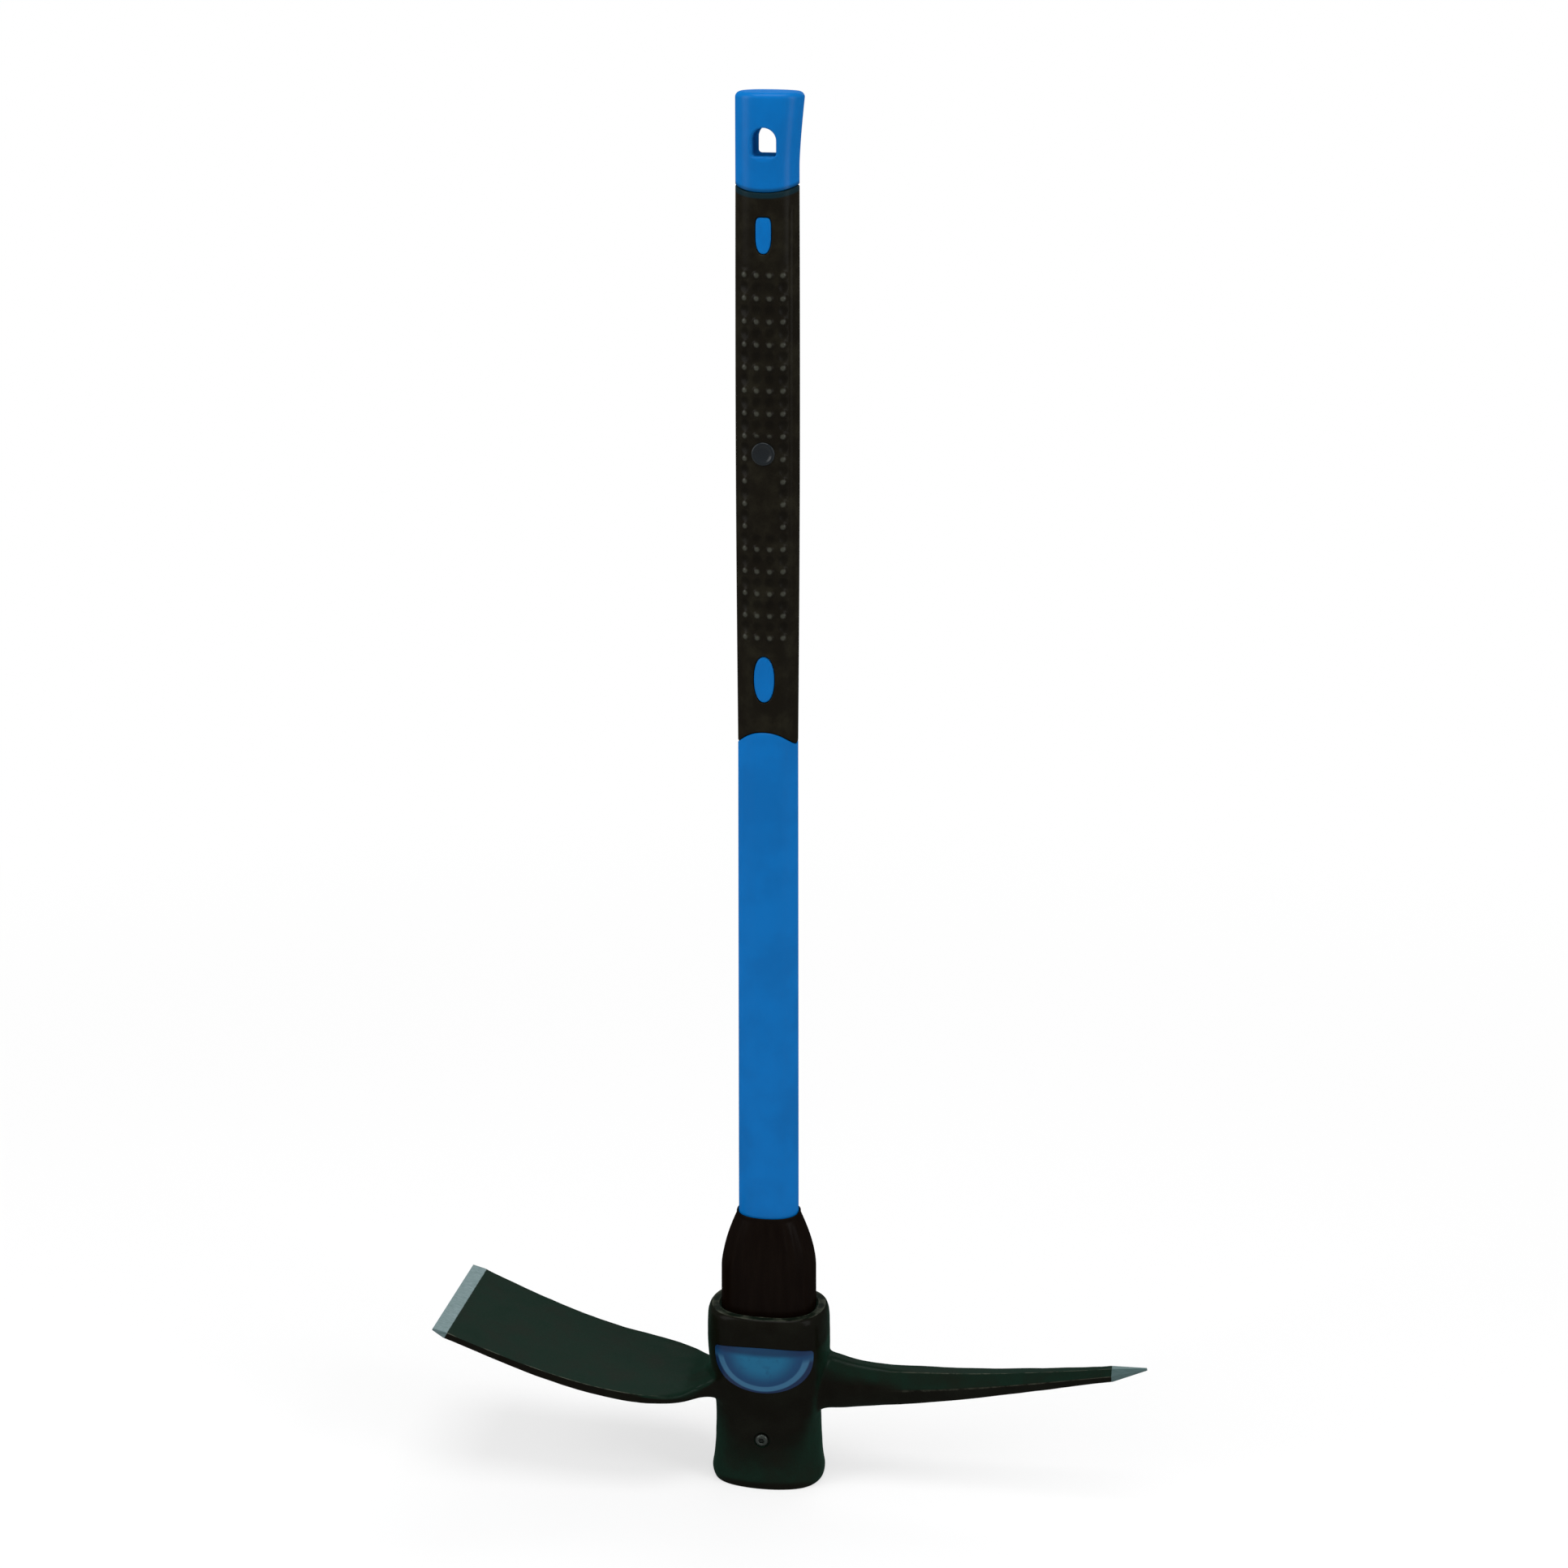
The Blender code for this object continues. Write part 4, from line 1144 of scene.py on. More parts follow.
@dataclass
class Grip:
    """The rubber grip: a lattice of pips and pits, two windows a side, and a round button."""

    shape: HandleShape
    rubber: MattRubber = MattRubber()
    polished: GlossyButton = GlossyButton()
    sides: int = 176
    rows: int = 500
    swell: float = 0.6 * MM
    edge: float = 1.1 * MM
    edge_steps: int = 6
    lattice: Lattice = Lattice()
    pip_size: Point2 = (2.7 * MM, 2.9 * MM)
    pip_height: float = 1.0 * MM
    pit_size: Point2 = (3.0 * MM, 4.2 * MM)
    pit_depth: float = 0.55 * MM
    line_at: float = 16.2 * MM
    line_half: float = 0.8 * MM
    line_depth: float = 0.35 * MM
    line_foot: Point2 = (10 * MM, 20 * MM)
    line_top: Point2 = (8 * MM, 16 * MM)
    window_shapes: tuple[tuple[float, ...], ...] = (
        (6.8 * MM, 15.0 * MM, 553.2 * MM, 2.2, 2.2),
        (5.15 * MM, 11.3 * MM, 829.6 * MM, 5.0, 2.4))
    window_lip: float = 0.9 * MM
    button_level: float = 696.5 * MM
    button_radius: float = 7.25 * MM
    button_profile: tuple[Point2, ...] = (
        (0.93, -1.4), (0.96, 0.1), (1.0, 0.5), (0.985, 0.9), (0.94, 1.2), (0.87, 1.35),
        (0.8, 1.32), (0.75, 1.18), (0.66, 0.8), (0.55, 0.42), (0.42, 0.2), (0.25, 0.12),
        (0.08, 0.1))

    def swelled(self, z: float) -> float:
        """Return how far the grip stands out of the handle's outline at a height."""
        share = ramp(z, self.shape.grip_foot, self.shape.grip_top)
        return self.swell * math.sin(math.pi * share)

    def face(self, x: float, z: float) -> float:
        """Return how far the grip's plain front lies from the middle plane at a place."""
        return self.shape.depth(x, z, self.swelled(z))

    def relief(self, x: float, z: float) -> float:
        """Return how far the rubber rises over its plain face.

        Args:
            x: place across the grip.
            z: height.

        Returns:
            The rise of the pips, or the depth of the pits and the side lines as less than 0.
        """
        foot, top = self.shape.grip_foot, self.shape.grip_top
        ends = ease(z, foot + self.line_foot[0], foot + self.line_foot[1])
        ends *= ease(z, top - self.line_top[0], top - self.line_top[1])
        line = max(0.0, 1 - (abs(abs(x) - self.line_at) / self.line_half) ** 2)
        lift = -self.line_depth * line * ends
        inside = self.lattice.inside(x, z)
        if inside <= 0.0:
            return lift
        column, row, pit_row = self.lattice.near(x, z)
        pit = max(0.0, 1 - (column / self.pit_size[0]) ** 2 - (pit_row / self.pit_size[1]) ** 2)
        dome = max(0.0, 1 - (column / self.pip_size[0]) ** 2 - (row / self.pip_size[1]) ** 2)
        return lift + inside * (self.pip_height * dome ** 0.9 - self.pit_depth * pit ** 1.5)

    def windows(self) -> list[Outline]:
        """Return the outlines of the lower and the upper window."""
        return [Outline.oval(*window) for window in self.window_shapes]

    def ring(self, share: float, drawn: float = 0.0) -> Loop:
        """Return a ring of the sleeve.

        Args:
            share: how far up the grip it lies, from 0 to 1.
            drawn: how far a rounded end draws it in, where it has no relief.

        Returns:
            The ring.
        """
        shape, points = self.shape, []
        for a in shape.angles(self.sides):
            z = blend(shape.foot_edge(a), shape.top_edge(a), share)
            grow = self.swelled(z) - drawn
            rise = self.relief(shape.point(z, a, grow).x, z) if drawn == 0.0 else 0.0
            points.append(shape.point(z, a, grow + rise))
        return points

    def sleeve(self) -> bpy.types.Object:
        """Make the grip before its windows are cut.

        Returns:
            The sleeve.
        """
        shape, share = self.shape, self.edge / self.shape.grip_length
        ends = rounding(1.0, 90, self.edge_steps)[1:]
        rings = [self.ring(share * below, self.edge * inset) for inset, below in ends[::-1]]
        rings += [self.ring(level) for level in spread(share, 1 - share, self.rows)]
        rings += [self.ring(1 - share * below, self.edge * inset) for inset, below in ends]
        rings += [[shape.point(edge(a), a, -shape.wall) for a in shape.angles(self.sides)]
                  for edge in (shape.top_edge, shape.foot_edge)]
        return skin("grip_sleeve", rings, closed=True)

    def button(self) -> bpy.types.Object:
        """Make the dished round button on the front.

        Returns:
            The button.
        """
        level, seat = self.button_level, self.face(0.0, self.button_level)
        return skin("grip_button", [
            [Vector((self.button_radius * share * math.cos(a), -seat - rise * MM,
                     level + self.button_radius * share * math.sin(a)))
             for a in turn(ROUND_SIDES)]
            for share, rise in self.button_profile])

    def build(self) -> None:
        """Build and dress the grip and its button."""
        grip = self.sleeve()
        for outline in self.windows():
            combine(grip, through_cutter("window", outline, self.face, self.window_lip),
                    Operation.CUT)
        self.rubber.dress(grip, Body.HANDLE, "rubber_grip", degrees=55.0)
        self.polished.dress(self.button(), Body.HANDLE)


@dataclass(frozen=True)
class EyeShape:
    """The tapered oval bore of the head's eye."""

    height: float = 123.0 * MM
    top_width: float = 63.2 * MM
    top_depth: float = 46.4 * MM
    taper: float = 0.6 * MM
    power: float = 2.5

    def half(self, z: float) -> Point2:
        """Return the bore's half width and half depth, tapering on above the eye."""
        grow = self.taper * (1 - z / self.height)
        return self.top_width / 2 + grow, self.top_depth / 2 + grow

    def ring(self, z: float, grow: float, count: int) -> Loop:
        """Return the bore's outline at a height, grown by a wall."""
        half_x, half_y = self.half(z)
        return oval_ring(half_x + grow, half_y + grow, self.power,
                         even_turn(half_x, half_y, self.power, count), z)


@dataclass
class Bulb:
    """The black bulb: tapered in the eye, fluted and drawn in to a thin rim above it."""

    shape: HandleShape
    eye: EyeShape
    finish: SatinBulb = SatinBulb()
    sides: int = 216
    straight_from: float = 6 * MM
    shoulder_foot: float = 150.0 * MM
    top: float = 189.5 * MM
    rim_wall: float = 1.2 * MM
    rim_height: float = 2.2 * MM
    curve: float = 1.6
    rib_count: int = 24
    rib_height: float = 0.55 * MM
    rib_fade: float = 0.8
    rib_reach: float = 1.05
    rib_level: float = 0.7
    chamfer: float = 1.2 * MM
    core_half: Point2 = (12.8 * MM, 9.8 * MM)
    eye_rings: int = 24
    shoulder_rings: int = 40
    rim_rings: int = 9

    def shoulder(self, share: float) -> Loop:
        """Return a ring of the shoulder.

        Args:
            share: how far up the shoulder it lies, from 0 to 1.

        Returns:
            The ring, with its flutes.
        """
        shape, eye = self.shape, self.eye
        z = blend(self.shoulder_foot, self.top - self.rim_height, share)
        draw = share ** self.curve
        wide_x, wide_y = eye.half(self.shoulder_foot)
        rim = shape.half_width(self.top) + shape.fit + self.rim_wall
        half_x = blend(wide_x - shape.fit, rim, draw)
        half_y = blend(wide_y - shape.fit, rim - shape.oval_less, draw)
        power = blend(eye.power, shape.power, draw)
        swell = math.sin(math.pi * min(1.0, share * self.rib_reach)) ** self.rib_fade
        points = []
        for i, a in enumerate(even_turn(half_x, half_y, power, self.sides)):
            wave = abs(math.cos(math.pi * self.rib_count * i / self.sides))
            flute = self.rib_height * swell * (wave - self.rib_level)
            points.append(Vector((*oval_point(half_x + flute, half_y + flute, power, a), z)))
        return points

    def build(self) -> None:
        """Build and dress the bulb."""
        shape, eye, sides = self.shape, self.eye, self.sides
        rings = [eye.ring(0.0, -shape.fit - self.chamfer, sides),
                 eye.ring(self.chamfer, -shape.fit, sides)]
        rings += [eye.ring(z, -shape.fit, sides)
                  for z in spread(self.straight_from, self.shoulder_foot, self.eye_rings)]
        rings += [self.shoulder(share) for share in spread(0.0, 1.0, self.shoulder_rings)[1:]]
        half, lip = shape.half_width(self.top), self.rim_wall / 2
        angles = even_turn(half, half - shape.oval_less, shape.power, sides)
        for a in spread(0.0, math.pi, self.rim_rings):
            z = self.top - lip + lip * math.sin(a)
            grow = shape.fit + lip + lip * math.cos(a)
            rings.append([shape.point(z, b, grow) for b in angles])
        step = shape.jacket_foot - shape.fit
        rings.append([shape.point(step, b, shape.fit) for b in angles])
        rings += [oval_ring(*self.core_half, 2.0, angles, z) for z in (step, 0.0)]
        bulb = skin("bulb_moulding", rings, closed=True)
        self.finish.dress(bulb, Body.HANDLE, "eye_bulb")


@dataclass(frozen=True)
class ArmSection:
    """One section of an arm: its distance from the axis, its lift and its corners."""

    distance: float
    lift: float
    points: Section


@dataclass(frozen=True)
class Arm:
    """One arm of the head: its place on the eye, its sections and the curve they follow."""

    side: int
    middle: int
    reach: int
    seat_level: float
    seat: Section
    stations: tuple[ArmSection, ...]
    level: float
    rise: float
    curl: float
    bend: float
    ridges: tuple[int, ...]

    def at(self, distance: float) -> Point2:
        """Follow the arm's curve.

        Args:
            distance: how far out from the axis.

        Returns:
            The arm's height and slope there.
        """
        run = self.stations[-1].distance - self.bend
        share = max(0.0, (distance - self.bend) / run)
        slope = self.rise * self.curl / run * share ** (self.curl - 1) if share else 0.0
        return self.level + self.rise * share ** self.curl, slope


@dataclass
class Head:
    """The forged head in one piece: eye, collar, flared foot, adze blade and pick arm."""

    eye: EyeShape
    finish: ForgedEnamel = ForgedEnamel()
    levels: int = 4
    foot_wall: float = 6.6 * MM
    foot_rounding: float = 2.2 * MM
    foot_band: float = 14.0 * MM
    waist_wall: float = 3.2 * MM
    boss_growth: float = 0.6
    collar_wall: float = 9.2 * MM
    collar_rounding: float = 3.2 * MM
    arm_foot: float = 46.0 * MM
    arm_top: float = 90.0 * MM
    arm_rows: tuple[int, int] = (3, 4)
    cage_angles: tuple[int, ...] = (0, 32, 60, 90, 120, 148, 180, 212, 240, 270, 300, 328)
    blade_reach: float = 217.0 * MM
    blade_throat: Point2 = (9.9 * MM, 48 * MM)
    blade_shoulder: Point2 = (7.1 * MM, 88.5 * MM)
    blade_end: Point2 = (4.6 * MM, 104 * MM)
    blade_edge: float = 1.4 * MM
    blade_crown: float = 1.25
    pick_reach: float = 251.4 * MM
    pick_point: float = 23 * MM
    pick_flat: float = 0.52
    ridge_crease: float = 0.9
    ridges_from: int = 3
    mouth_lip: float = 1.6 * MM
    mouth_past: float = 3 * MM
    mouth_degrees: float = 75
    bore_rings: int = 12
    bore_sides: int = 192
    plain_point: Point2 = (229 * MM, 222 * MM)
    plain_edge: Point2 = (-209 * MM, -202 * MM)
    plain_foot: float = 4 * MM
    plain_top: float = 3 * MM
    ripple: float = 0.35 * MM
    ripple_size: float = 19 * MM
    dents: float = 0.22 * MM
    dent_size: float = 6.5 * MM

    def rows(self) -> list[Point2]:
        """List the cage's rows.

        Returns:
            The height of each and its wall beyond the bore.
        """
        waist, collar = self.waist_wall, self.collar_wall
        rows = [(0.0, self.foot_wall - self.foot_rounding),
                (self.foot_band / 3, self.foot_wall),
                (self.foot_band, blend(waist, self.foot_wall, 0.2)),
                (self.arm_foot, waist),
                ((self.arm_foot + self.arm_top) / 2, blend(waist, collar, self.boss_growth)),
                (self.arm_top, collar)]
        return rows + [(self.eye.height - below * self.collar_rounding,
                        collar - off * self.collar_rounding)
                       for below, off in ((4.0, 0.0), (0.7, 0.1), (0.0, 1.0))]

    def cage_point(self, row: Point2, degrees: float) -> Vector:
        """Place a cage corner, pushed out by what subdividing draws in.

        Args:
            row: its height and its wall beyond the bore.
            degrees: its angle round the eye.

        Returns:
            The corner.
        """
        z, wall = row
        half_x, half_y = self.eye.half(z)
        draw_in = (4 + 2 * math.cos(2 * math.pi / len(self.cage_angles))) / 6
        x, y = oval_point(half_x + wall, half_y + wall, self.eye.power, math.radians(degrees))
        return Vector((x / draw_in, y / draw_in, z))

    def side(self) -> float:
        """Return how far the eye's outer side lies from the axis."""
        return self.eye.half(self.arm_foot)[0] + self.collar_wall

    def seat_x(self, y: float, z: float) -> float:
        """Measure how far the eye's outside lies from the axis.

        Args:
            y: depth.
            z: height.

        Returns:
            The distance.
        """
        wall = blend(self.waist_wall, self.collar_wall, ramp(z, self.arm_foot, self.arm_top))
        half_x, half_y = self.eye.half(z)
        inside = 1 - abs(y / (half_y + wall)) ** self.eye.power
        return (half_x + wall) * max(0.0, inside) ** (1 / self.eye.power)

    def pick_section(self, height: float, depth: float) -> Section:
        """Return the pick arm's section: flat top and foot, ridged sides."""
        half, side, flat = height / 2, depth / 2, depth / 2 * self.pick_flat
        return ((0, half), (flat, half), (side, 0), (flat, -half),
                (0, -half), (-flat, -half), (-side, 0), (-flat, half))

    def blade_section(self, thickness: float, width: float, crown: float) -> Section:
        """Draw the blade's section, a plate a little thicker along its middle.

        Args:
            thickness: its thickness at the sides.
            width: its width.
            crown: how many times thicker its middle is.

        Returns:
            Its corners.
        """
        half, side = thickness / 2, width / 2
        high = half * crown
        quarter, mid = side * 0.55, blend(half, high, 0.7)
        top = ((0, high), (quarter, mid), (side, half))
        foot = ((side, -half), (quarter, -mid), (0, -high))
        back = tuple((-y, z) for y, z in reversed(foot[:-1]))
        front = tuple((-y, z) for y, z in reversed(top[1:]))
        return top + ((side, 0),) + foot + back + ((-side, 0),) + front

    def blade(self) -> Arm:
        """Lay out the blade, from its throat to its ground edge.

        Returns:
            The arm.
        """
        root, crown = self.side(), self.blade_crown
        sizes = [(root + 4 * MM, *self.blade_throat, crown)]
        sizes += [(blend(root + 15.5 * MM, self.blade_reach - 8 * MM, share),
                   *(blend(*ends, share) for ends in zip(self.blade_shoulder, self.blade_end)),
                   crown) for share in spread(0.0, 1.0, 4)]
        sizes.append((self.blade_reach, self.blade_edge, self.blade_end[1], 1.0))
        return Arm(side=-1, middle=6, reach=2, seat_level=68 * MM,
                   seat=self.blade_section(14 * MM, 44 * MM, crown),
                   stations=tuple(ArmSection(distance, 0.0, self.blade_section(*size))
                                  for distance, *size in sizes),
                   level=64.2 * MM, rise=45.3 * MM, curl=1.45, bend=root + 33 * MM,
                   ridges=(2, 4, 8, 10))

    def pick(self) -> Arm:
        """Lay out the pick arm, from its fillet to its point.

        Returns:
            The arm.
        """
        root, point = self.side(), self.pick_reach - self.pick_point
        sizes = ((root + 7 * MM, 2.2 * MM, 37.6, 27.6), (root + 26 * MM, 0.0, 28.8, 24.5),
                 (blend(root, point, 0.52), 0.0, 17.5, 17.5), (point, 0.0, 9.5, 9.5),
                 (self.pick_reach, 0.0, 1.6, 1.6))
        return Arm(side=1, middle=0, reach=1, seat_level=69.8 * MM,
                   seat=self.pick_section(39 * MM, 30 * MM),
                   stations=tuple(
                       ArmSection(distance, lift, self.pick_section(high * MM, deep * MM))
                       for distance, lift, high, deep in sizes),
                   level=67.5 * MM, rise=27.5 * MM, curl=1.8, bend=root,
                   ridges=(1, 2, 3, 5, 6, 7))

    def opening(self, grid: list[list[bmesh.types.BMVert]], arm: Arm) -> list[bmesh.types.BMVert]:
        """Find the corners round an arm's opening in the eye.

        Args:
            grid: the corners of the eye, row by row.
            arm: the arm.

        Returns:
            The corners, from the middle of the top round by the back.
        """
        first = self.arm_rows[0]
        low, mid, top = grid[first:first + 3]
        columns = [(arm.middle + arm.side * i) % len(low)
                   for i in range(-arm.reach, arm.reach + 1)]
        return ([top[c] for c in columns[arm.reach:]] + [mid[columns[-1]]]
                + [low[c] for c in reversed(columns)] + [mid[columns[0]]]
                + [top[c] for c in columns[:arm.reach]])

    def add_arm(self, bm: bmesh.types.BMesh, grid: list[list[bmesh.types.BMVert]],
                arm: Arm) -> None:
        """Draw an arm out of its opening in the eye.

        Args:
            bm: the cage.
            grid: the corners of the eye, row by row.
            arm: the arm.
        """
        crease = bm.edges.layers.float["crease_edge"]
        level = arm.seat_level
        loops = [self.opening(grid, arm),
                 [bm.verts.new((arm.side * self.seat_x(y, level + z), y, level + z))
                  for y, z in arm.seat]]
        for station in arm.stations:
            height, slope = arm.at(station.distance)
            lean = math.atan(slope)
            loops.append([bm.verts.new((arm.side * (station.distance - z * math.sin(lean)), y,
                                        height + station.lift + z * math.cos(lean)))
                          for y, z in station.points])
        count = len(arm.seat)
        for number, (near, far) in enumerate(zip(loops, loops[1:])):
            for i in range(count):
                j = (i + 1) % count
                bm.faces.new((near[i], near[j], far[j], far[i]))
            if number >= self.ridges_from:
                for i in arm.ridges:
                    bm.edges.get((near[i], far[i]))[crease] = self.ridge_crease
        bm.faces.new(loops[-1])
        for loop in loops[-2:]:
            for i in range(count):
                bm.edges.get((loop[i], loop[(i + 1) % count]))[crease] = 1.0

    def cage(self) -> bpy.types.Object:
        """Make the head's cage and subdivide it.

        Returns:
            The head before it is hammered and bored.
        """
        bm = bmesh.new()
        crease = bm.edges.layers.float.new("crease_edge")
        rows, count = self.rows(), len(self.cage_angles)
        grid = [[bm.verts.new(self.cage_point(row, angle)) for angle in self.cage_angles]
                for row in rows]
        arms = (self.pick(), self.blade())
        open_columns = {column % count for arm in arms
                        for column in range(arm.middle - arm.reach, arm.middle + arm.reach)}
        for r in range(len(rows) - 1):
            for c in range(count):
                if r in self.arm_rows and c in open_columns:
                    continue
                d = (c + 1) % count
                bm.faces.new((grid[r][c], grid[r][d], grid[r + 1][d], grid[r + 1][c]))
        for ring in (grid[0], grid[-1]):
            bm.faces.new(ring)
            for i in range(count):
                bm.edges.get((ring[i], ring[(i + 1) % count]))[crease] = 1.0
        for arm in arms:
            self.add_arm(bm, grid, arm)
        loose = [v for v in bm.verts if not v.link_faces]
        bmesh.ops.delete(bm, geom=loose, context="VERTS")
        bmesh.ops.recalc_face_normals(bm, faces=bm.faces)
        mesh = bpy.data.meshes.new("head_forging")
        bm.to_mesh(mesh)
        bm.free()
        head = make_object("head_forging", mesh)
        smooth = head.modifiers.new("forging", "SUBSURF")
        smooth.levels = smooth.render_levels = self.levels
        settle(head)
        return head

    def hammer(self, head: bpy.types.Object) -> None:
        """Sink the faces a little and unevenly, as forging leaves them.

        Args:
            head: the head.
        """
        mesh, top = head.data, self.eye.height
        normals = [v.normal.copy() for v in mesh.vertices]
        for vertex, normal in zip(mesh.vertices, normals):
            x, _, z = vertex.co
            keep = ease(x, *self.plain_point) * ease(x, *self.plain_edge)
            keep *= ease(z, 0.0, self.plain_foot) * ease(z, top, top - self.plain_top)
            wave = noise.fractal(vertex.co / self.ripple_size, 0.8, 2.0, 2) * 0.5 + 0.5
            dent = noise.noise(vertex.co / self.dent_size) * 0.5 + 0.5
            sink = self.ripple * min(1.0, max(0.0, wave)) + self.dents * dent
            vertex.co -= normal * sink * keep
        mesh.update()

    def bore(self) -> bpy.types.Object:
        """Make the cutter of the eye, with rounded mouths.

        Returns:
            The cutter.
        """
        lip, top, past = self.mouth_lip, self.eye.height, self.mouth_past
        swings = spread(0.0, math.radians(self.mouth_degrees), EDGE_STEPS)
        profile = [(z, 0.0) for z in spread(2 * lip, top - 2 * lip, self.bore_rings)]
        profile += [(top - lip + lip * math.sin(a), lip * (1 - math.cos(a))) for a in swings]
        profile.append((top + past, profile[-1][1] + past))
        foot = [(lip - lip * math.sin(a), lip * (1 - math.cos(a))) for a in swings]
        foot.append((-past, foot[-1][1] + past))
        return skin("eye bore", [self.eye.ring(z, grow, self.bore_sides)
                                 for z, grow in foot[::-1] + profile])

    def build(self) -> bpy.types.Object:
        """Build and dress the head.

        Returns:
            The finished piece.
        """
        head = self.cage()
        self.hammer(head)
        combine(head, self.bore(), Operation.CUT)
        combine(head, SetScrew(self.eye).hole(), Operation.CUT)
        self.finish.dress(head, Body.HEAD, "pick_head")
        return head


@dataclass
class SetScrew:
    """The button-headed set screw in the front wall of the eye."""

    eye: EyeShape
    finish: ZincPlate = ZincPlate()
    level: float = 35.5 * MM
    wall: float = 3.2 * MM
    spot_depth: float = 0.4 * MM
    shank: float = 2.5 * MM
    chamfer: float = 0.75 * MM
    head: float = 4.25 * MM
    head_height: float = 2.6 * MM
    head_bevel: float = 0.2 * MM
    head_rim: float = 0.75 * MM
    crown_turn: float = math.radians(68)
    spot_margin: float = 0.8 * MM
    socket: float = 2.0 * MM
    socket_depth: float = 1.6 * MM
    socket_mouth: float = 0.35 * MM
    fit: float = 0.3 * MM

    @property
    def tip(self) -> float:
        """Distance of the screw's tip in front of the axis."""
        return self.eye.half(self.level)[1]

    @property
    def seat(self) -> float:
        """Distance of the spot face in front of the axis."""
        return self.tip + self.wall - self.spot_depth

    def spun(self, name: str, profile: Sequence[Point2], sides: int) -> bpy.types.Object:
        """Revolve radius and distance to the front round the screw's axis."""
        return skin(name, [[Vector((r * math.cos(a), -y, self.level + r * math.sin(a)))
                            for a in turn(sides)] for r, y in profile])

    def hole(self) -> bpy.types.Object:
        """Return the cutter of the screw's hole and spot face."""
        hole, face = self.shank + self.fit, self.head + self.spot_margin
        return self.spun("screw hole", (
            (hole, self.tip - CUT_PAST), (hole, self.seat), (face, self.seat),
            (face + 0.3 * MM, self.seat + self.spot_depth), (face + 4 * MM, self.seat + CUT_PAST)),
            ROUND_SIDES)

    def build(self) -> None:
        """Build and dress the screw."""
        seat = self.seat + self.fit
        profile = [(self.shank - self.chamfer, self.tip), (self.shank, self.tip + self.chamfer),
                   (self.shank, seat), (self.head - self.head_bevel, seat),
                   (self.head, seat + self.head_bevel), (self.head, seat + self.head_rim)]
        crown = self.head_height - self.head_rim
        profile += [(self.head * math.cos(a) ** 0.8,
                     seat + self.head_rim + crown * math.sin(a) / math.sin(self.crown_turn))
                    for a in spread(0.0, self.crown_turn, 9)[1:]]
        screw = self.spun("set_screw", profile, ROUND_SIDES)
        top, mouth = seat + self.head_height, self.socket + self.socket_mouth
        socket = self.spun("socket", (
            (0.4 * MM, top - self.socket_depth - 0.5 * MM), (self.socket, top - self.socket_depth),
            (self.socket, top - 0.3 * MM), (mouth, top + 0.05 * MM), (mouth, top + 3 * MM)), 6)
        combine(screw, socket, Operation.CUT)
        self.finish.dress(screw, Body.HEAD, "lock_screw", degrees=30.0)


@dataclass
class Sticker:
    """The blank sticker on the front of the eye: flat top, short sides, round foot."""

    head: bpy.types.Object
    finish: BlankVinyl = BlankVinyl()
    width: float = 65.0 * MM
    middle: float = 1.0 * MM
    height: float = 33.0 * MM
    side: float = 6.5 * MM
    top: float = 104.5 * MM
    arch: float = 3.6 * MM
    corner: float = 2.0 * MM
    columns: int = 96
    rows: int = 36
    laid_from: float = 70 * MM
    clear: float = 0.25 * MM
    thickness: float = 0.2 * MM

    def span(self, share: float) -> Point2:
        """Measure the sticker's height.

        Args:
            share: place across it, from -1 to 1.

        Returns:
            Its top and its foot there.
        """
        drop = blend(self.side, self.height, math.sqrt(max(0.0, 1 - share ** 2)))
        near = ramp((1 - abs(share)) * self.width / 2, 0.0, self.corner)
        cut = self.corner * (1 - math.sqrt(max(0.0, 1 - (1 - near) ** 2)))
        arch = self.arch * share ** 2
        return self.top - arch - cut, self.top - arch - drop + cut

    def build(self) -> None:
        """Lay the sticker on the head and dress it."""
        points, faces, count = [], [], self.rows + 1
        for i in range(self.columns + 1):
            share = -math.cos(math.pi * i / self.columns)
            points += [(self.middle + share * self.width / 2, -self.laid_from, z)
                       for z in spread(*self.span(share), count)]
        for i in range(self.columns):
            for j in range(i * count, i * count + self.rows):
                faces.append((j, j + 1, j + 1 + count, j + count))
        mesh = bpy.data.meshes.new("front_sticker")
        mesh.from_pydata(points, [], faces)
        label = make_object("front_sticker", mesh)
        for name, kind, settings in (
                ("laid on", "SHRINKWRAP", {
                    "target": self.head, "wrap_method": "PROJECT", "use_project_y": True,
                    "use_positive_direction": True, "use_negative_direction": False,
                    "wrap_mode": "ABOVE_SURFACE", "offset": self.clear}),
                ("thickness", "SOLIDIFY", {"thickness": self.thickness, "offset": 1.0})):
            modifier = label.modifiers.new(name, kind)
            for key, value in settings.items():
                setattr(modifier, key, value)
        settle(label)
        self.finish.dress(label, Body.HEAD, "eye_label")


@dataclass(frozen=True)
class Lamp:
    """A soft box that faces the tool."""

    name: str
    place: Triple
    size: Point2
    power: float


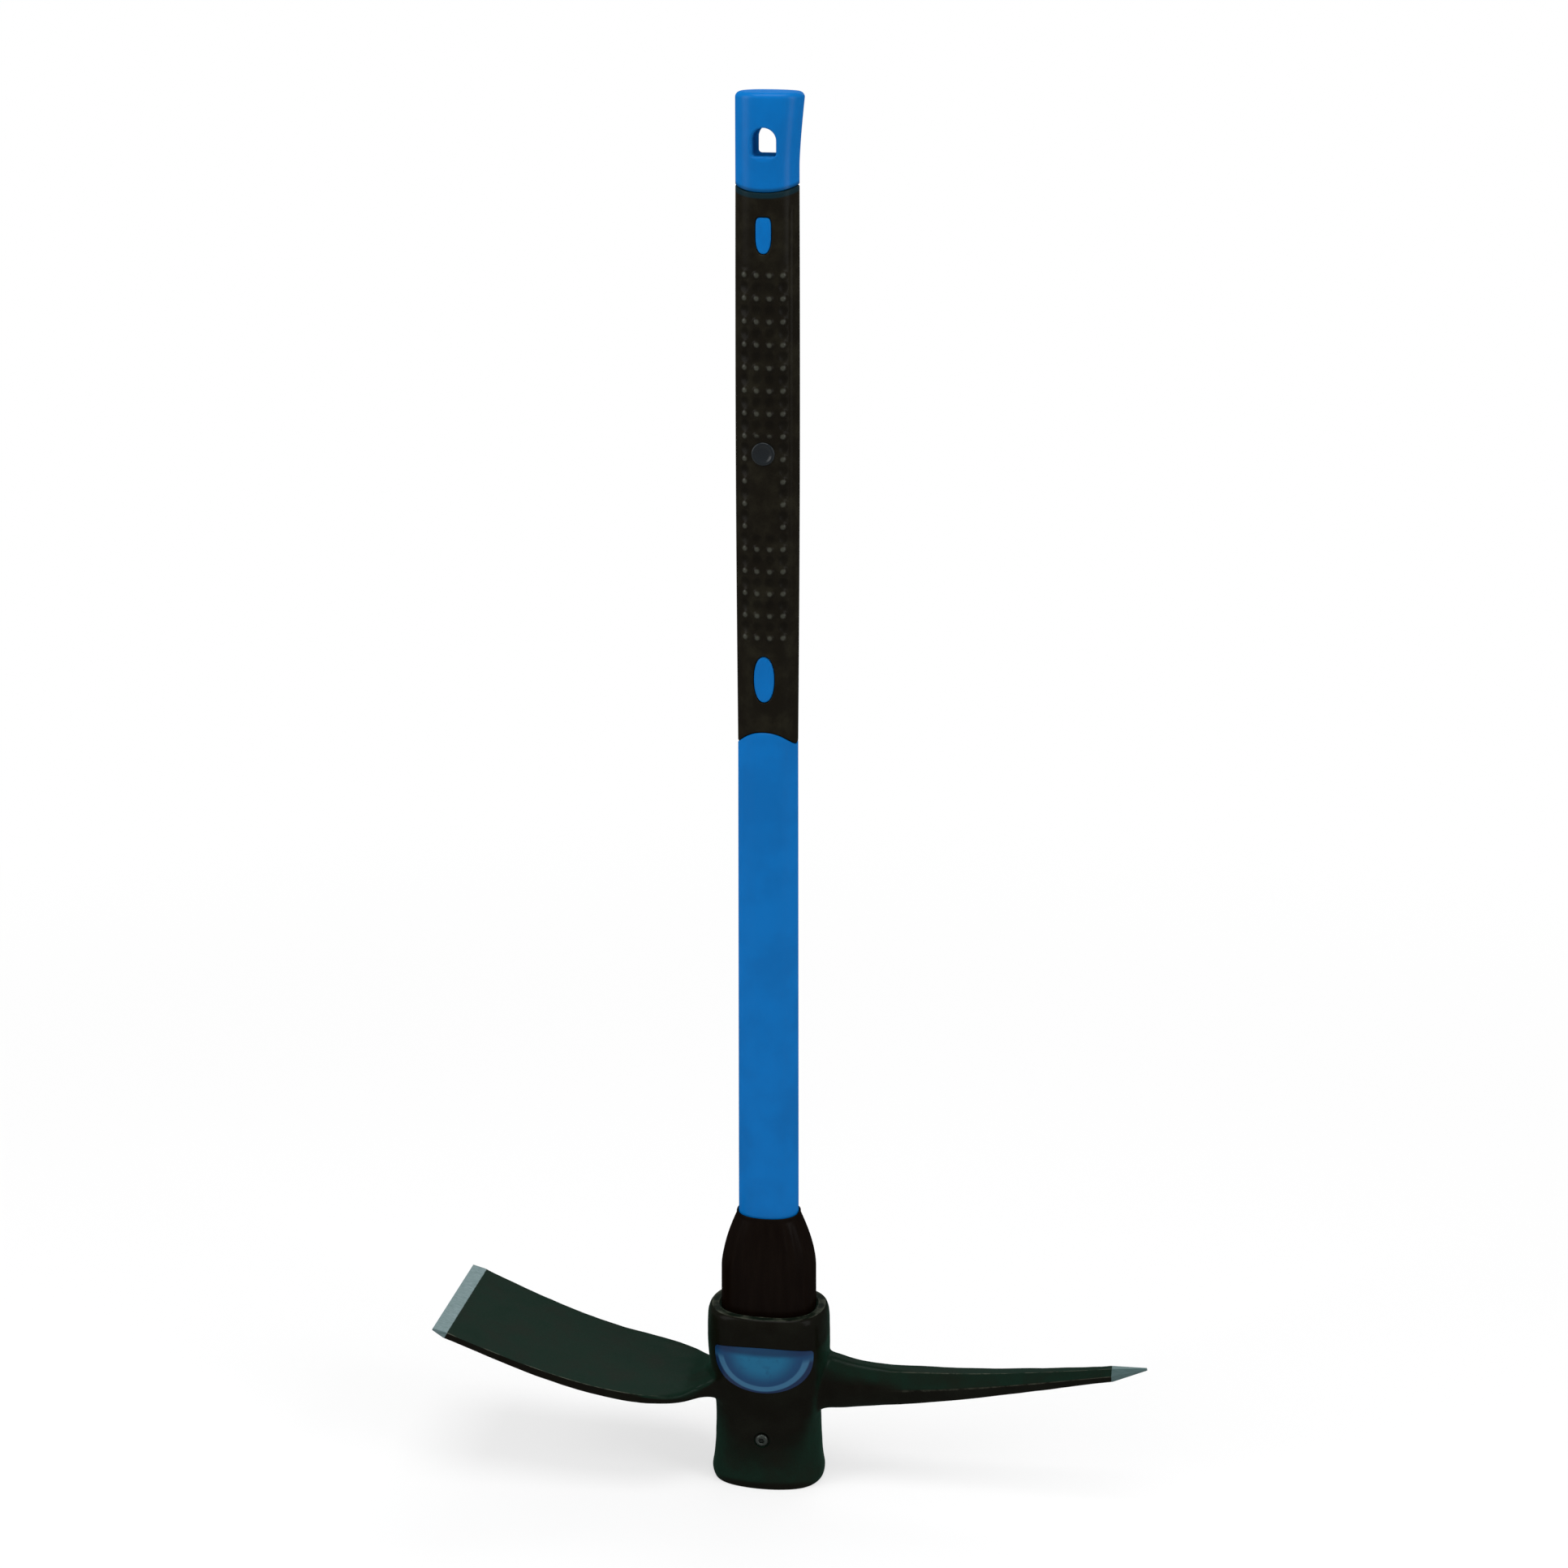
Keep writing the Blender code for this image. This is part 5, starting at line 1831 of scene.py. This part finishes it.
@dataclass
class Studio:
    """A white floor, plain soft light and the camera."""

    camera_distance: float = 2.1
    camera_height: float = 1.09
    camera_side: float = -0.010
    camera_pitch: float = math.radians(16.168)
    camera_turn: float = math.radians(10.0)
    lens: float = 79.006
    sensor: float = 36.0
    sight: float = 200.0
    aim: Triple = (0.0, 0.0, 0.4)
    floor_half: float = 30.0
    floor_white: float = 0.8
    floor_glow: Triple = (0.35, 1.6, 0.6)
    ambient: float = 0.42
    white: Colour = (1.0, 1.0, 1.0)
    lamps: tuple[Lamp, ...] = (
        Lamp("left box", (-2.0, -1.1, 1.5), (1.2, 1.9), 31.0),
        Lamp("right box", (2.1, -0.9, 1.3), (1.0, 1.9), 25.0),
        Lamp("top box", (0.0, -0.5, 2.7), (1.6, 1.2), 34.0),
        Lamp("back box", (0.2, 2.2, 1.7), (1.8, 1.4), 18.0))

    def background_rays(self, board: Board) -> Wire:
        """Tell the rays that show the background from those that light things.

        Args:
            board: the board of the material or world.

        Returns:
            1 for the rays that show it and 0 for the others.
        """
        camera = board.add("ShaderNodeLightPath", output="Is Camera Ray")
        seen = board.maths("MAXIMUM", camera, camera.twin("Is Glossy Ray"))
        return board.maths("MAXIMUM", seen, camera.twin("Is Transmission Ray"))

    def add_floor(self) -> None:
        """Lay the white floor, which glows where it is far from the tool."""
        half, (near, far, least) = self.floor_half, self.floor_glow
        mesh = bpy.data.meshes.new("floor")
        mesh.from_pydata([(-half, -half, 0), (half, -half, 0), (half, half, 0), (-half, half, 0)],
                         [], [(0, 1, 2, 3)])
        floor = make_object("floor", mesh)
        material = bpy.data.materials.new("white studio floor")
        board = Board(material)
        paper = board.add("ShaderNodeBsdfDiffuse", None, {"Color": (self.floor_white,) * 3})
        glow = board.add("ShaderNodeEmission", None, {"Color": self.white, "Strength": 1.0})
        spot = board.add("ShaderNodeTexCoord", output="Object")
        away = board.add("ShaderNodeVectorMath", {"operation": "LENGTH"}, {"Vector": spot}, "Value")
        share = self.background_rays(board) * board.fade(away, near, far, least, 1.0)
        both = board.add("ShaderNodeMixShader", None, {
            "Fac": share, "Shader": paper, "Shader_001": glow})
        board.add("ShaderNodeOutputMaterial", None, {"Surface": both})
        mesh.materials.append(material)

    def add_world(self) -> None:
        """Light the world evenly, and show it white."""
        world = bpy.data.worlds.new("studio")
        board = Board(world)
        strength = board.fade(self.background_rays(board), 0.0, 1.0, self.ambient, 1.0)
        light = board.add("ShaderNodeBackground", None, {"Color": self.white, "Strength": strength})
        board.add("ShaderNodeOutputWorld", None, {"Surface": light})
        bpy.context.scene.world = world

    def add_lamps(self) -> None:
        """Hang the soft boxes."""
        for lamp in self.lamps:
            light = bpy.data.lights.new(lamp.name, "AREA")
            light.shape = "RECTANGLE"
            light.size, light.size_y = lamp.size
            light.energy = lamp.power
            box = make_object(lamp.name, light)
            box.location = lamp.place
            ahead = Vector(self.aim) - box.location
            box.rotation_euler = ahead.to_track_quat("-Z", "Y").to_euler()

    def add_camera(self) -> None:
        """Set up the camera at the photograph's angle."""
        data = bpy.data.cameras.new("camera")
        data.lens = self.lens
        data.sensor_width = self.sensor
        data.clip_end = self.sight
        camera = make_object("camera", data)
        cosine, sine = math.cos(self.camera_turn), math.sin(self.camera_turn)
        camera.location = (-self.camera_side * cosine + self.camera_distance * sine,
                           -self.camera_side * sine - self.camera_distance * cosine,
                           self.camera_height)
        camera.rotation_euler = (math.pi / 2 - self.camera_pitch, 0.0, self.camera_turn)
        bpy.context.scene.camera = camera

    def build(self) -> None:
        """Set up everything round the tool."""
        self.add_floor()
        self.add_world()
        self.add_lamps()
        self.add_camera()
        bpy.context.scene.view_settings.view_transform = "Standard"


def main() -> None:
    """Build every piece and then the studio, logging how many faces each new piece has."""
    logging.basicConfig(level=logging.INFO, format="%(name)s: %(message)s")
    shape, eye = HandleShape(), EyeShape()
    grip = Grip(shape)
    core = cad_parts["fibreglass_core"]
    core.data.materials.clear()
    core.data.materials.append(CutFibreglass().material())
    LOG.info("%s: kept, with the finish of a sawn rod", core.name)
    Shaft(shape, grip).build()
    grip.build()
    Bulb(shape, eye).build()
    head = Head(eye).build()
    SetScrew(eye).build()
    Sticker(head).build()
    Studio().build()
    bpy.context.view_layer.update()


if __name__ == "__main__":
    main()
